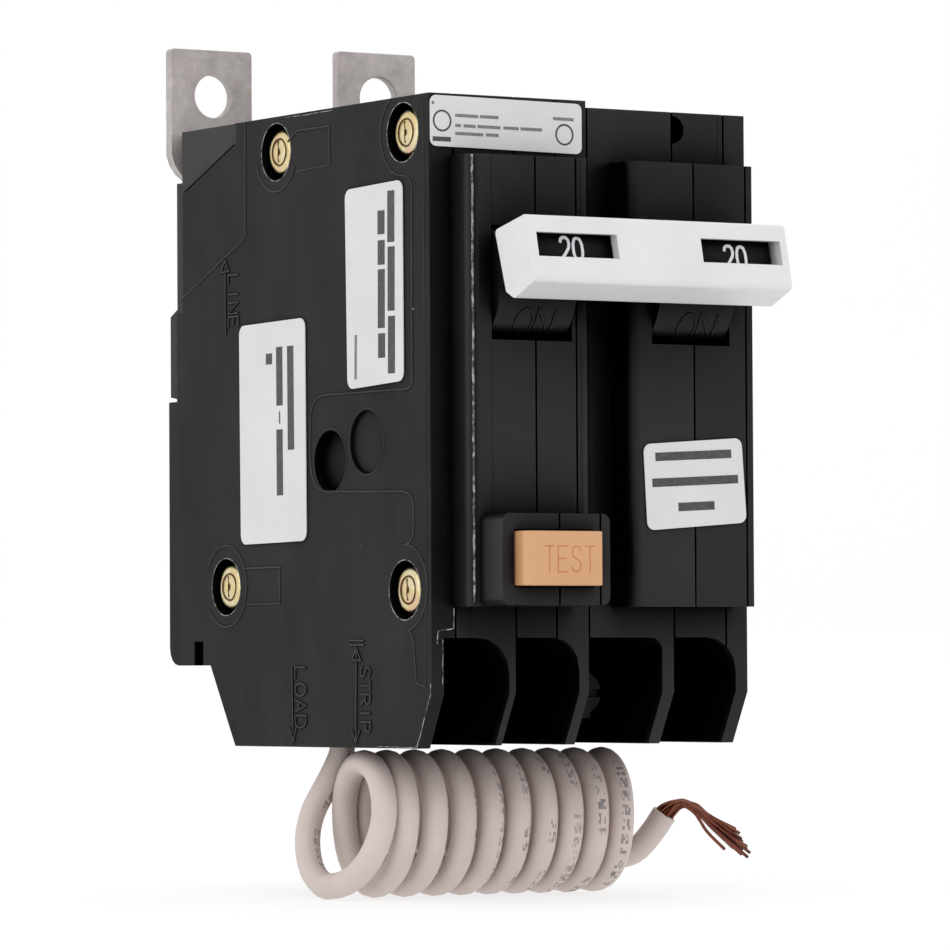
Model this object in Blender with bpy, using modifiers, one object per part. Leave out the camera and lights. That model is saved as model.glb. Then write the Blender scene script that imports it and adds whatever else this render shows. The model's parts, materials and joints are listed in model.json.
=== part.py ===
"""Two-pole ground-fault breaker with bolt-on line tabs, a handle tie, a test button and a coiled neutral lead.

Design sizes are millimetres from a datum corner: x from the left side face, y from the front of the
base (positive towards the panel), z from the bottom of the case. at() turns them into metres in the
part's own frame, whose origin is on the rear seat, midway across the width and up the seat.
"""
import math

import bmesh
import bpy
from mathutils import Matrix, Vector

MM = 0.001

# Driving sizes
WIDTH = 50.8
SEAT_Y = 70.6
SEAT_Z = 31.0
TOP_LEFT = 86.7
TOP_RIGHT = 85.8
GAP = 0.3
POLE_PITCH = 25.5
TOWER_FRONT = -5.2
TOWER_BOTTOM, TOWER_TOP = 18.5, 78.4
SURROUND_FRONT = -10.7
HINGE_Y, HINGE_Z = 2.8, 62.0
BARREL_R = 10.0
POCKET_TOP, POCKET_DEPTH = 14.4, 28.0
WIRE_R = 1.75
COIL_Y, COIL_Z = 24.0, -10.7
COIL_OUTER_R = 10.05
COIL_START, COIL_END = -3.0, 46.8
LEAD_X, LEAD_Y = 6.4, 33.6

# The case is seven slices across the width, a small gap apart
LEFT_COVER = (0.0, 3.65)
LEFT_BASE = (3.95, 13.2)
LEFT_MIDDLE = (13.5, 19.65)
LEFT_INNER = (19.95, 24.85)
RIGHT_BASE = (25.15, 38.65)
RIGHT_MIDDLE = (38.95, 47.15)
RIGHT_COVER = (47.45, WIDTH)

# Radii of the raised bands' outer edges
TOWER_EDGE, SURROUND_EDGE = 1.6, 1.1
SURROUND_Z = (18.6, 30.7)

# The mechanism's pivots, as y and z, and the radii of its pins and posts
ARM_PIVOT = (20.0, 57.0)
CRADLE_PIVOT = (40.0, 70.0)
ARMATURE_PIVOT = (28.0, 24.5)
PIN_R, POST_R, POST_BORE_R = 1.5, 1.2, 1.26

# Height of the rail foot, and the level slot in it that hooks on a rail
FOOT_Z = 10.95
FOOT_SLOT = [(61.0, FOOT_Z), (61.0, 14.3), (63.5, 14.3), (63.5, FOOT_Z)]

RIVETS = ((6.65, 81.9), (6.65, 20.8), (40.1, 81.8), (54.4, 21.9))
RIVET_SHANK_R, RIVET_HEAD_R, RIVET_SINK_R = 1.6, 3.0, 3.9

# Wire pockets, as x from, x to and the radius of the upper right corner
POCKETS = ((1.95, 12.2, 4.8), (13.35, 23.34, 4.2), (25.0, 36.8, 1.8), (38.8, 48.85, 4.6))

# Two windows for the handles and one for the test button, as x from and x to
HANDLE_WINDOWS = ((6.4, 19.1), (31.9, 44.6))
BUTTON_WINDOW = (6.2, 18.9, 20.9, 28.6)

COLOURS = {
    "case_black": ((0.035, 0.033, 0.033, 1), 0.42, 0.0),
    "case_brown_black": ((0.045, 0.039, 0.036, 1), 0.45, 0.0),
    "tie_white": ((0.87, 0.87, 0.89, 1), 0.35, 0.0),
    "button_orange": ((0.80, 0.38, 0.18, 1), 0.40, 0.0),
    "label_white": ((0.80, 0.78, 0.81, 1), 0.45, 0.0),
    "rivet_brass": ((0.72, 0.55, 0.26, 1), 0.30, 1.0),
    "tin_plate": ((0.62, 0.58, 0.56, 1), 0.45, 1.0),
    "steel": ((0.55, 0.55, 0.56, 1), 0.35, 1.0),
    "copper": ((0.60, 0.27, 0.16, 1), 0.35, 1.0),
    "bimetal_grey": ((0.45, 0.43, 0.40, 1), 0.40, 1.0),
    "board_green": ((0.03, 0.18, 0.08, 1), 0.50, 0.0),
    "ferrite_grey": ((0.10, 0.10, 0.11, 1), 0.60, 0.0),
    "bobbin_tan": ((0.45, 0.30, 0.14, 1), 0.50, 0.0),
    "wire_ivory": ((0.76, 0.68, 0.66, 1), 0.45, 0.0),
}


def start_scene():
    """Empty the file and make the two collections."""
    for item in list(bpy.data.objects):
        bpy.data.objects.remove(item)
    collections = []
    for name in ("gfci_breaker", "cutters"):
        collection = bpy.data.collections.new(name)
        bpy.context.scene.collection.children.link(collection)
        collections.append(collection)
    return collections


PARTS, CUTTERS = start_scene()


def at(x, y, z):
    """Datum millimetres to metres in the part's frame."""
    return Vector(((x - WIDTH / 2) * MM, (y - SEAT_Y) * MM, (z - SEAT_Z) * MM))


def material(name):
    """The named Principled material, made once."""
    found = bpy.data.materials.get(name)
    if found:
        return found
    colour, roughness, metallic = COLOURS[name]
    made = bpy.data.materials.new(name)
    made.use_nodes = True
    shader = made.node_tree.nodes["Principled BSDF"]
    shader.inputs["Base Color"].default_value = colour
    shader.inputs["Roughness"].default_value = roughness
    shader.inputs["Metallic"].default_value = metallic
    made.diffuse_color = colour
    return made


def finish(item, colour, pivot=None):
    """Put an object among the parts with its own material, and its origin on its pivot if it has one."""
    if item.name in CUTTERS.objects:
        CUTTERS.objects.unlink(item)
        PARTS.objects.link(item)
    item.hide_render = False
    item.display_type = "TEXTURED"
    item.data.materials.clear()
    own = material(colour).copy()
    own.name = item.name + "_" + colour
    item.data.materials.append(own)
    if pivot is not None:
        bpy.context.view_layer.update()
        shift = item.matrix_world.inverted() @ pivot
        item.data.transform(Matrix.Translation(-shift))
        item.location = pivot
    return item


def as_cutter(item):
    """A working shape: hidden from renders and drawn as wire."""
    item.hide_render = True
    item.display_type = "WIRE"
    return item


def mesh_object(name, mesh):
    """A new object for a mesh, placed with the cutters until finish() moves it."""
    item = bpy.data.objects.new(name, mesh)
    CUTTERS.objects.link(item)
    return as_cutter(item)


def box(name, xs, ys, zs):
    """A box between datum coordinates."""
    low = at(xs[0], ys[0], zs[0])
    high = at(xs[1], ys[1], zs[1])
    mesh = bpy.data.meshes.new(name)
    shape = bmesh.new()
    bmesh.ops.create_cube(shape, size=1.0)
    bmesh.ops.scale(shape, vec=high - low, verts=shape.verts)
    shape.to_mesh(mesh)
    shape.free()
    item = mesh_object(name, mesh)
    item.location = (low + high) / 2
    return item


TURNS = {"X": Matrix.Rotation(math.pi / 2, 4, "Y"), "Y": Matrix.Rotation(-math.pi / 2, 4, "X"), "Z": Matrix()}


def cylinder(name, axis, start, length, radius, segments=24):
    """A cylinder from a datum point along an axis."""
    mesh = bpy.data.meshes.new(name)
    shape = bmesh.new()
    bmesh.ops.create_cone(
        shape, cap_ends=True, segments=segments, radius1=radius * MM, radius2=radius * MM, depth=length * MM
    )
    bmesh.ops.translate(shape, vec=(0, 0, length * MM / 2), verts=shape.verts)
    bmesh.ops.transform(shape, matrix=TURNS[axis], verts=shape.verts)
    shape.to_mesh(mesh)
    shape.free()
    item = mesh_object(name, mesh)
    item.location = at(*start)
    return item


def rounded(points, steps=4):
    """An outline whose points may carry a corner radius, as a list of plain points."""
    result = []
    count = len(points)
    for index, point in enumerate(points):
        here = Vector(point[:2])
        if len(point) < 3:
            result.append(here)
            continue
        before = (Vector(points[index - 1][:2]) - here).normalized()
        after = (Vector(points[(index + 1) % count][:2]) - here).normalized()
        half = before.angle(after) / 2
        centre = here + (before + after).normalized() * point[2] / math.sin(half)
        first = here + before * point[2] / math.tan(half) - centre
        last = here + after * point[2] / math.tan(half) - centre
        for step in range(steps + 1):
            share = step / steps
            angle = first.angle(last)
            blend = (first * math.sin((1 - share) * angle) + last * math.sin(share * angle)) / math.sin(angle)
            result.append(centre + blend)
    return result


PLANES = {
    "YZ": Matrix(((0, 0, 1, 0), (1, 0, 0, 0), (0, 1, 0, 0), (0, 0, 0, 1))),
    "XZ": Matrix(((1, 0, 0, 0), (0, 0, -1, 0), (0, 1, 0, 0), (0, 0, 0, 1))),
    "XY": Matrix(),
}


def prism(name, plane, points, span):
    """A flat outline in a plane of the datum, extruded across the third direction."""
    curve = bpy.data.curves.new(name + "_outline", "CURVE")
    curve.dimensions = "2D"
    curve.fill_mode = "BOTH"
    curve.extrude = (span[1] - span[0]) * MM / 2
    outline = rounded(points)
    spline = curve.splines.new("POLY")
    spline.points.add(len(outline) - 1)
    spline.use_cyclic_u = True
    for knot, point in zip(spline.points, outline):
        knot.co = (point.x * MM, point.y * MM, 0, 1)
    drawn = bpy.data.objects.new(name + "_outline", curve)
    CUTTERS.objects.link(drawn)
    bpy.context.view_layer.update()
    mesh = bpy.data.meshes.new_from_object(drawn.evaluated_get(bpy.context.evaluated_depsgraph_get()))
    bpy.data.objects.remove(drawn)
    middle = (span[0] + span[1]) / 2
    offset = {"YZ": (middle, 0, 0), "XZ": (0, middle, 0), "XY": (0, 0, middle)}[plane]
    shape = bmesh.new()
    shape.from_mesh(mesh)
    bmesh.ops.remove_doubles(shape, verts=shape.verts, dist=0.00001)
    bmesh.ops.transform(shape, matrix=Matrix.Translation(at(*offset)) @ PLANES[plane], verts=shape.verts)
    bmesh.ops.recalc_face_normals(shape, faces=shape.faces)
    shape.to_mesh(mesh)
    shape.free()
    mesh.name = name
    return mesh_object(name, mesh)


def turned(name, profile, centre, axis, segments=24):
    """A closed profile of (radius, along) pairs, top to bottom on the outside, swept round an axis."""
    mesh = bpy.data.meshes.new(name)
    shape = bmesh.new()
    knots = [shape.verts.new((radius * MM, 0, along * MM)) for radius, along in profile]
    for index, knot in enumerate(knots):
        shape.edges.new((knot, knots[(index + 1) % len(knots)]))
    shape.to_mesh(mesh)
    shape.free()
    item = mesh_object(name, mesh)
    item.matrix_world = Matrix.Translation(at(*centre)) @ TURNS[axis]
    screw = item.modifiers.new("turn", "SCREW")
    screw.steps = segments
    screw.render_steps = segments
    screw.use_merge_vertices = True
    screw.merge_threshold = 0.00001
    return item


def tube(name, points, radius, resolution=2):
    """A round wire along datum points, with filled ends."""
    curve = bpy.data.curves.new(name, "CURVE")
    curve.dimensions = "3D"
    curve.bevel_depth = radius * MM
    curve.bevel_resolution = resolution
    curve.use_fill_caps = True
    spline = curve.splines.new("POLY")
    spline.points.add(len(points) - 1)
    for knot, point in zip(spline.points, points):
        knot.co = (*at(*point), 1)
    item = bpy.data.objects.new(name, curve)
    CUTTERS.objects.link(item)
    return item


def combine(item, others, operation):
    """Boolean modifiers on an object, one for each other shape."""
    for other in others:
        change = item.modifiers.new(other.name, "BOOLEAN")
        change.operation = operation
        change.solver = "EXACT"
        change.object = other
        as_cutter(other)
    return item


def cut(item, *others):
    return combine(item, others, "DIFFERENCE")


def join(item, *others):
    return combine(item, others, "UNION")


# ---------------------------------------------------------------- case

def case_outline(top):
    """Side view of the slices, anticlockwise from the front lower edge, with the rail foot at the rear."""
    return [
        (0, 7.0), (3.6, 0), (52.4, 0), (59.2, FOOT_Z), *FOOT_SLOT,
        (SEAT_Y, FOOT_Z, 2.5), (SEAT_Y, 48.7), (74.3, 49.3), (74.3, 60.8), (72.3, 61.8),
        (72.3, 79.8), (69.2, 79.8), (69.2, top), (0, top),
    ]


COVER_OUTLINE = [
    (0, 7.0), (3.6, -0.3), (52.1, -0.3), (59.0, FOOT_Z), *FOOT_SLOT,
    (SEAT_Y, FOOT_Z, 2.5), (SEAT_Y, 48.4), (68.3, 48.4), (68.3, 61.0), (66.5, 61.0),
    (66.5, 77.7), (51.45, 83.7), (51.45, TOP_LEFT), (0, TOP_LEFT),
]

# The hollow of each slice leaves solid bosses round the four rivets
HOLLOW = [
    (11.5, 16.7), (29.9, 16.7), (29.9, 2.2), (48.8, 2.2), (48.8, 24.5), (51.5, 27.2), (57.5, 27.2),
    (60.2, 24.5), (60.2, 16.5), (67.2, 16.5), (67.2, 83.6), (45.2, 83.6), (43.8, 78.4), (36.4, 78.4),
    (35.0, 83.6), (11.5, 83.6), (2.0, 75.5), (2.0, 27.0),
]


def tower(name, xs, round_left=False, round_right=False):
    """The raised band on the front of one slice, with rounded outer edges."""
    left = (xs[0], TOWER_FRONT, TOWER_EDGE) if round_left else (xs[0], TOWER_FRONT)
    right = (xs[1], TOWER_FRONT, TOWER_EDGE) if round_right else (xs[1], TOWER_FRONT)
    return prism(name, "XY", [left, right, (xs[1], 0.6), (xs[0], 0.6)], (TOWER_BOTTOM, TOWER_TOP))


def surround(name, xs, round_left=False, round_right=False):
    """One slice's share of the raised frame round the test button."""
    low, high = SURROUND_Z
    points = [
        (xs[0], low, SURROUND_EDGE) if round_left else (xs[0], low),
        (xs[1], low, SURROUND_EDGE) if round_right else (xs[1], low),
        (xs[1], high, SURROUND_EDGE) if round_right else (xs[1], high),
        (xs[0], high, SURROUND_EDGE) if round_left else (xs[0], high),
    ]
    return prism(name, "XZ", points, (SURROUND_FRONT, TOWER_FRONT + 0.5))


def pocket(name, index, xs):
    """The part of a wire pocket that falls inside one slice."""
    left, right, radius = POCKETS[index]
    corner = (right, POCKET_TOP, radius)
    points = [(left - 1, -3), (right, -3), corner, (left - 1, POCKET_TOP)]
    whole = prism(name, "XZ", points, (-2, POCKET_DEPTH))
    start = max(left, xs[0] - 1)
    return cut(whole, box(name + "_side", (left - 3, start), (-3, POCKET_DEPTH + 1), (-4, POCKET_TOP + 1)))


def rivet_holes(name, xs):
    """Clearance for the four rivets through one slice."""
    margin = 1.0
    return [
        cylinder(f"{name}_rivet_{index}", "X", (xs[0] - margin, y, z), xs[1] - xs[0] + 2 * margin,
                 RIVET_SHANK_R + GAP, segments=16)
        for index, (y, z) in enumerate(RIVETS)
    ]


def handle_window(name, xs):
    """The opening for a handle: a round bed for its barrel and a square mouth in the tower."""
    barrel = cylinder(name + "_bed", "X", (xs[0], HINGE_Y, HINGE_Z), xs[1] - xs[0], BARREL_R + 0.45, segments=40)
    mouth = box(name + "_mouth", xs, (TOWER_FRONT - 1, HINGE_Y), (53.8, 69.0))
    return [barrel, mouth]


def button_window(name):
    x0, x1, z0, z1 = BUTTON_WINDOW
    return box(name, (x0, x1), (SURROUND_FRONT - 1, 3.6), (z0, z1))


def post(name, x0, x1, y, z):
    """A moulded post that a lever turns on."""
    return cylinder(name, "X", (x0, y, z), x1 - x0, POST_R, segments=16)


STRAP_SLOTS = (((69.15, 71.35), (66.1, 80.5)), ((65.0, 71.35), (66.1, 68.3)))


def strap_slots(name, xs):
    """The upright slot and the level slot through the rear wall that a line strap passes."""
    return [box(f"{name}_strap_{index}", xs, ys, zs) for index, (ys, zs) in enumerate(STRAP_SLOTS)]


def left_cover():
    xs = LEFT_COVER
    case = prism("left_cover", "YZ", COVER_OUTLINE, xs)
    cut(case, box("left_cover_rear", (2.1, 4.0), (62.0, 72.0), (5, 90)))
    cut(case, pocket("left_cover_pocket", 0, xs))
    cut(case, *rivet_holes("left_cover", xs))
    for index, (y, z) in enumerate(RIVETS):
        cut(case, cylinder(f"left_cover_sink_{index}", "X", (-1, y, z), 3.4, RIVET_SINK_R, segments=32))
    cut(case, cylinder("left_cover_recess_deep", "X", (-1, 25.9, 38.6), 2.6, 4.2, segments=32))
    cut(case, cylinder("left_cover_recess_shallow", "X", (-1, 16.3, 40.9), 1.5, 4.3, segments=32))
    return finish(case, "case_black")


def left_base():
    xs = LEFT_BASE
    name = "left_base"
    case = prism(name, "YZ", case_outline(TOP_LEFT), xs)
    rear = [(63.8, FOOT_Z), (SEAT_Y, FOOT_Z, 2.5), *case_outline(TOP_LEFT)[9:16], (63.8, TOP_LEFT)]
    join(case, prism(name + "_rear", "YZ", rear, (2.4, xs[0] + 0.5)))
    corner = [(51.8, 84.1), (66.9, 78.1), (67.2, 78.1), (67.2, TOP_LEFT), (51.8, TOP_LEFT)]
    join(case, prism(name + "_corner", "YZ", corner, (0.4, xs[0] + 0.5)))
    join(case, tower(name + "_tower", (3.15, xs[1]), round_left=True))
    cut(case, box(name + "_front_gap", (2.0, xs[0]), (-GAP, 10.0), (5, TOWER_TOP + 1)))
    join(case, surround(name + "_surround", (4.4, xs[1]), round_left=True))
    cut(case, prism(name + "_hollow", "YZ", HOLLOW, (5.65, xs[1] + 1)))
    cut(case, pocket(name + "_pocket", 0, xs))
    cut(case, *handle_window(name + "_window", (HANDLE_WINDOWS[0][0], xs[1] + 1)))
    cut(case, button_window(name + "_button"))
    cut(case, *strap_slots(name, (4.0, xs[1] + 1)))
    cut(case, *rivet_holes(name, (0, xs[1])))
    cut(case, box(name + "_terminal_slot", (5.6, 10.8), (27, 31), (11.0, 13.4)))
    cut(case, cylinder(name + "_lead_hole", "Z", (LEAD_X, LEAD_Y, -1), 13.0, WIRE_R + GAP, segments=16))
    cut(case, cylinder(name + "_pin_seat", "X", (4.9, HINGE_Y, HINGE_Z), 2.0, PIN_R + GAP, segments=20))
    join(case, post(name + "_arm_post", 5.0, 12.7, *ARM_PIVOT))
    join(case, post(name + "_cradle_post", 5.0, 8.6, *CRADLE_PIVOT))
    return finish(case, "case_black")


def left_middle():
    xs = LEFT_MIDDLE
    name = "left_middle"
    case = prism(name, "YZ", case_outline(TOP_LEFT), xs)
    join(case, tower(name + "_tower", xs))
    join(case, surround(name + "_surround", xs))
    cut(case, prism(name + "_hollow", "YZ", HOLLOW, (xs[0] - 1, xs[1] + 1)))
    cut(case, pocket(name + "_pocket", 1, xs))
    cut(case, *handle_window(name + "_window", (xs[0] - 1, HANDLE_WINDOWS[0][1])))
    cut(case, button_window(name + "_button"))
    cut(case, *rivet_holes(name, xs))
    cut(case, cylinder(name + "_pin_seat", "X", (18.5, HINGE_Y, HINGE_Z), 2.0, PIN_R + GAP, segments=20))
    cut(case, cylinder(name + "_spring_seat", "Y", (15.6, 3.0, 25.4), 6.2, 2.3, segments=16))
    cut(case, box(name + "_terminal_slot", (14.6, 19.2), (27, 31), (11.0, 13.4)))
    return finish(case, "case_black")


def left_inner_cover():
    xs = LEFT_INNER
    name = "left_inner_cover"
    case = prism(name, "YZ", case_outline(TOP_LEFT), xs)
    join(case, tower(name + "_tower", (xs[0], 22.4), round_right=True))
    join(case, surround(name + "_surround", (xs[0], 21.3), round_right=True))
    cut(case, prism(name + "_hollow", "YZ", HOLLOW, (21.2, xs[1] + 1)))
    cut(case, pocket(name + "_pocket", 1, xs))
    cut(case, *rivet_holes(name, xs))
    cut(case, cylinder(name + "_pin_seat", "X", (19.5, HINGE_Y, HINGE_Z), 1.1, PIN_R + GAP, segments=20))
    return finish(case, "case_black")


def right_base():
    xs = RIGHT_BASE
    name = "right_base"
    case = prism(name, "YZ", case_outline(TOP_RIGHT), xs)
    join(case, tower(name + "_tower", (28.6, xs[1]), round_left=True))
    cut(case, prism(name + "_board_hollow", "YZ", HOLLOW, (xs[0] - 1, 29.6)))
    cut(case, prism(name + "_pole_hollow", "YZ", HOLLOW, (31.2, xs[1] + 1)))
    cut(case, pocket(name + "_pocket", 2, xs))
    cut(case, *handle_window(name + "_window", (HANDLE_WINDOWS[1][0], xs[1] + 1)))
    cut(case, *strap_slots(name, (29.2, xs[1] + 1)))
    cut(case, *rivet_holes(name, xs))
    cut(case, box(name + "_terminal_slot", (31.3, 36.0), (27, 31), (11.0, 13.4)))
    cut(case, cylinder(name + "_pin_seat", "X", (30.3, HINGE_Y, HINGE_Z), 2.0, PIN_R + GAP, segments=20))
    join(case, post(name + "_arm_post", 30.6, 38.2, *ARM_PIVOT))
    join(case, post(name + "_cradle_post", 30.6, 34.1, *CRADLE_PIVOT))
    return finish(case, "case_black")


def right_middle():
    xs = RIGHT_MIDDLE
    name = "right_middle"
    case = prism(name, "YZ", case_outline(TOP_RIGHT), xs)
    join(case, tower(name + "_tower", xs))
    cut(case, prism(name + "_hollow", "YZ", HOLLOW, (xs[0] - 1, 45.2)))
    cut(case, pocket(name + "_pocket", 3, xs))
    cut(case, *handle_window(name + "_window", (xs[0] - 1, HANDLE_WINDOWS[1][1])))
    cut(case, *rivet_holes(name, xs))
    cut(case, cylinder(name + "_pin_seat", "X", (44.0, HINGE_Y, HINGE_Z), 2.2, PIN_R + GAP, segments=20))
    cut(case, cylinder(name + "_notch", "Y", (xs[0], -1, 83.4), 3.5, 1.9, segments=24))
    return finish(case, "case_brown_black")


def right_cover():
    xs = RIGHT_COVER
    name = "right_cover"
    case = prism(name, "YZ", case_outline(TOP_RIGHT), xs)
    join(case, tower(name + "_tower", (xs[0], 48.4)))
    cut(case, pocket(name + "_pocket", 3, xs))
    cut(case, *rivet_holes(name, (xs[0], xs[1] - 1.9)))
    for index, (y, z) in enumerate(RIVETS):
        cut(case, cylinder(f"{name}_sink_{index}", "X", (xs[1] - 1.8, y, z), 3.0, RIVET_SINK_R, segments=32))
    return finish(case, "case_brown_black")


def rivet(index, y, z):
    """A rivet right through the case, its head sunk in the left side and its clenched end in the right."""
    item = turned(
        f"rivet_{index + 1}",
        [
            (0.55, 49.1), (2.35, 49.0), (2.6, 48.2), (RIVET_SHANK_R, 48.1), (RIVET_SHANK_R, 1.2),
            (RIVET_HEAD_R, 1.15), (RIVET_HEAD_R, 0.0), (2.4, -0.6), (0.9, -0.7), (0.55, -0.1),
        ],
        (1.2, y, z), "X", segments=20,
    )
    return finish(item, "rivet_brass")


# ---------------------------------------------------------------- labels

def labels():
    """Four paper labels with rounded corners, a hair off the faces they are stuck to."""
    near, far = 0.06, 0.22
    side = "YZ"
    radius = 1.3
    a = [(6.4, 48.7, radius), (20.9, 48.1, radius), (21.4, 75.2, radius), (6.5, 75.6, radius)]
    finish(prism("side_label_front", side, a, (-far, -near)), "label_white")
    b = [(32.0, 27.9, radius), (49.9, 27.7, radius), (50.2, 58.2, radius), (32.2, 58.5, radius)]
    finish(prism("side_label_rear", side, b, (-far, -near)), "label_white")
    c = [(0.1, 79.6, 0.9), (24.1, 79.4, 0.9), (24.1, 86.2, 0.9), (0.1, 86.4, 0.9)]
    finish(prism("rating_label", "XZ", c, (-far, -near)), "label_white")
    d = [(30.9, 28.7, 1.1), (47.1, 29.9, 1.1), (46.3, 41.4, 1.1), (30.3, 40.3, 1.1)]
    finish(prism("tower_label", "XZ", d, (TOWER_FRONT - far, TOWER_FRONT - near)), "label_white")


# ---------------------------------------------------------------- handles

TIE_OUTLINE = [(-8.4, 68.0), (-16.3, 69.8), (-18.3, 60.9), (-13.1, 58.7), (-11.1, 59.7)]
TIE_WALL = 1.5


def moved_edges(points, distances):
    """An anticlockwise outline with each edge, from its point to the next, moved inwards."""
    count = len(points)
    lines = []
    for index in range(count):
        start = Vector(points[index])
        run = (Vector(points[(index + 1) % count]) - start).normalized()
        inward = Vector((-run.y, run.x))
        lines.append((start + inward * distances[index], run))
    result = []
    for index in range(count):
        (p, u), (q, v) = lines[index - 1], lines[index]
        share = (q - p).cross(v) / u.cross(v)
        result.append(tuple(p + u * share))
    return result


def handle_tie():
    """A hollow cap that joins the two handles, open towards the case, with a window over each rating."""
    x0, x1 = 4.9, 45.9
    outer = [(y, z, r) for (y, z), r in zip(TIE_OUTLINE, (0.6, 0.9, 0.9, 1.0, 0.4))]
    item = prism("handle_tie", "YZ", outer, (x0, x1))
    inner = moved_edges(TIE_OUTLINE, (TIE_WALL, TIE_WALL, TIE_WALL, TIE_WALL, -2.0))
    cut(item, prism("tie_hollow", "YZ", inner, (6.35, 44.95)))
    for index, xs in enumerate(((6.0, 18.6), (32.0, 44.8))):
        window = box(f"tie_window_{index}", xs, (-22, -14.0), (64.1, 67.3))
        cut(item, window)
    return finish(item, "tie_white", at(WIDTH / 2, HINGE_Y, HINGE_Z))


def handle(name, index):
    """A toggle: a round barrel on the hinge and a nose that fills the tie."""
    x0 = HANDLE_WINDOWS[index][0] + GAP
    x1 = HANDLE_WINDOWS[index][1] - GAP
    middle = (x0 + x1) / 2
    item = cylinder(name, "X", (x0, HINGE_Y, HINGE_Z), x1 - x0, BARREL_R, segments=40)
    reach = TIE_WALL + 0.35
    nose = moved_edges(TIE_OUTLINE, (reach, reach, reach, reach, 0.0)) + [(0.0, 58.0), (0.0, 66.5)]
    join(item, prism(name + "_nose", "YZ", nose, (x0 + 0.05, x1 - 0.05)))
    cut(item, box(name + "_heel", (x0 - 1, x1 + 1), (7.5, 14.0), (50, 74)))
    cut(item, cylinder(name + "_bore", "X", (x0 - 1, HINGE_Y, HINGE_Z), x1 - x0 + 2, PIN_R + 0.06, segments=20))
    return finish(item, "case_black", at(middle, HINGE_Y, HINGE_Z))


def handle_pin(name, x0, x1):
    return finish(
        cylinder(name, "X", (x0, HINGE_Y, HINGE_Z), x1 - x0, PIN_R, segments=20), "steel",
    )


# ---------------------------------------------------------------- test button

def test_button():
    x0, x1, z0, z1 = BUTTON_WINDOW
    side = 0.3
    front = -13.3
    plan = [(x0 + side, front, 1.3), (x1 - side, front, 0.5), (x1 - side, 1.4), (x0 + side, 1.4)]
    item = prism("test_button", "XY", plan, (z0 + 0.25, z1 - 0.25))
    return finish(item, "button_orange", at((x0 + x1) / 2, front, (z0 + z1) / 2))


def test_switch():
    """The return spring, as a sleeve of its outer shape, and the contact leaf behind it."""
    spring = turned("test_spring", [(1.9, 7.2), (1.9, 0), (1.4, 0), (1.4, 7.2)], (15.6, 1.7, 25.4), "Y", 16)
    finish(spring, "steel")
    leaf = box("test_contact_leaf", (13.9, 18.0), (9.35, 9.85), (21.5, 36.0))
    finish(leaf, "copper")


# ---------------------------------------------------------------- current path of one pole

def line_strap(side, left, top, inner):
    """A line terminal: the bolt-on tab outside and the strap to the fixed contact inside."""
    width = 13.2
    front, back = 69.5, 71.1
    tab = [
        (left + 2.9, 79.9), (left + width, 79.9, 0.6), (left + width, top, 0.6), (left, top, 0.6),
        (left, 83.7), (left + 0.5, 82.2), (left + 1.5, 80.9),
    ]
    item = prism(f"{side}_line_strap", "XZ", tab, (front, back))
    hole_x = left + width / 2 + 0.3
    cut(item, cylinder(f"{side}_strap_hole", "Y", (hole_x, front - 1, top - 6.6), 4, 3.1, segments=32))
    join(item, box(f"{side}_strap_upright", (inner, inner + 7.0), (front, back), (66.5, 80.4)))
    join(item, box(f"{side}_strap_level", (inner, inner + 7.0), (54.0, back), (66.5, 68.0)))
    join(item, cylinder(f"{side}_fixed_contact", "Z", (inner + 3.5, 57.0, 65.1), 1.8, 1.9, segments=16))
    return finish(item, "tin_plate")


def contact_arm(side, shift):
    """The moving contact arm on its post, closed on the fixed contact at rest."""
    outline = [
        (17.0, 54.0, 2.4), (23.0, 54.6), (38.0, 57.5), (59.0, 60.2), (59.0, 62.9), (40.0, 61.6), (23.0, 60.6),
        (17.0, 60.0, 2.4),
    ]
    item = prism(f"{side}_contact_arm", "YZ", outline, (8.6 + shift, 11.9 + shift))
    join(item, cylinder(f"{side}_arm_contact", "Z", (10.25 + shift, 57.0, 60.5), 4.3, 1.55, segments=16))
    cut(item, cylinder(f"{side}_arm_bore", "X", (7 + shift, *ARM_PIVOT), 6, POST_BORE_R, segments=20))
    return finish(item, "copper", at(10.25 + shift, *ARM_PIVOT))


def cradle(side, shift):
    """The latched trip lever."""
    outline = [
        (43.0, 67.0, 1.5), (43.0, 73.0, 1.5), (37.0, 73.5), (27.0, 70.0, 2.0), (25.5, 44.0), (27.5, 43.0),
        (30.0, 65.0, 2.0), (36.5, 67.0),
    ]
    item = prism(f"{side}_cradle", "YZ", outline, (6.2 + shift, 7.9 + shift))
    cut(item, cylinder(f"{side}_cradle_bore", "X", (5 + shift, *CRADLE_PIVOT), 5, POST_BORE_R, segments=20))
    return finish(item, "steel", at(7.05 + shift, *CRADLE_PIVOT))


def main_spring(side, shift):
    """The over-centre spring as a sleeve of its outer shape."""
    start = Vector((34.0, 53.0))
    end = Vector((48.0, 74.0))
    length = (end - start).length
    item = turned(f"{side}_main_spring", [(1.7, length), (1.7, 0), (1.1, 0), (1.1, length)],
                  (15.4 + shift, start.x, start.y), "Z", 16)
    lean = math.atan2(end.x - start.x, end.y - start.y)
    item.matrix_world = Matrix.Translation(at(15.4 + shift, *start)) @ Matrix.Rotation(-lean, 4, "X")
    return finish(item, "steel")


def bimetal(side, shift):
    """The bimetal strip, standing on a foot over the load strap."""
    item = box(f"{side}_bimetal", (14.2 + shift, 17.3 + shift), (30.4, 31.3), (18.5, 44.0))
    join(item, box(f"{side}_bimetal_foot", (7.0 + shift, 17.6 + shift), (30.3, 35.0), (18.0, 19.3)))
    return finish(item, "bimetal_grey")


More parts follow.
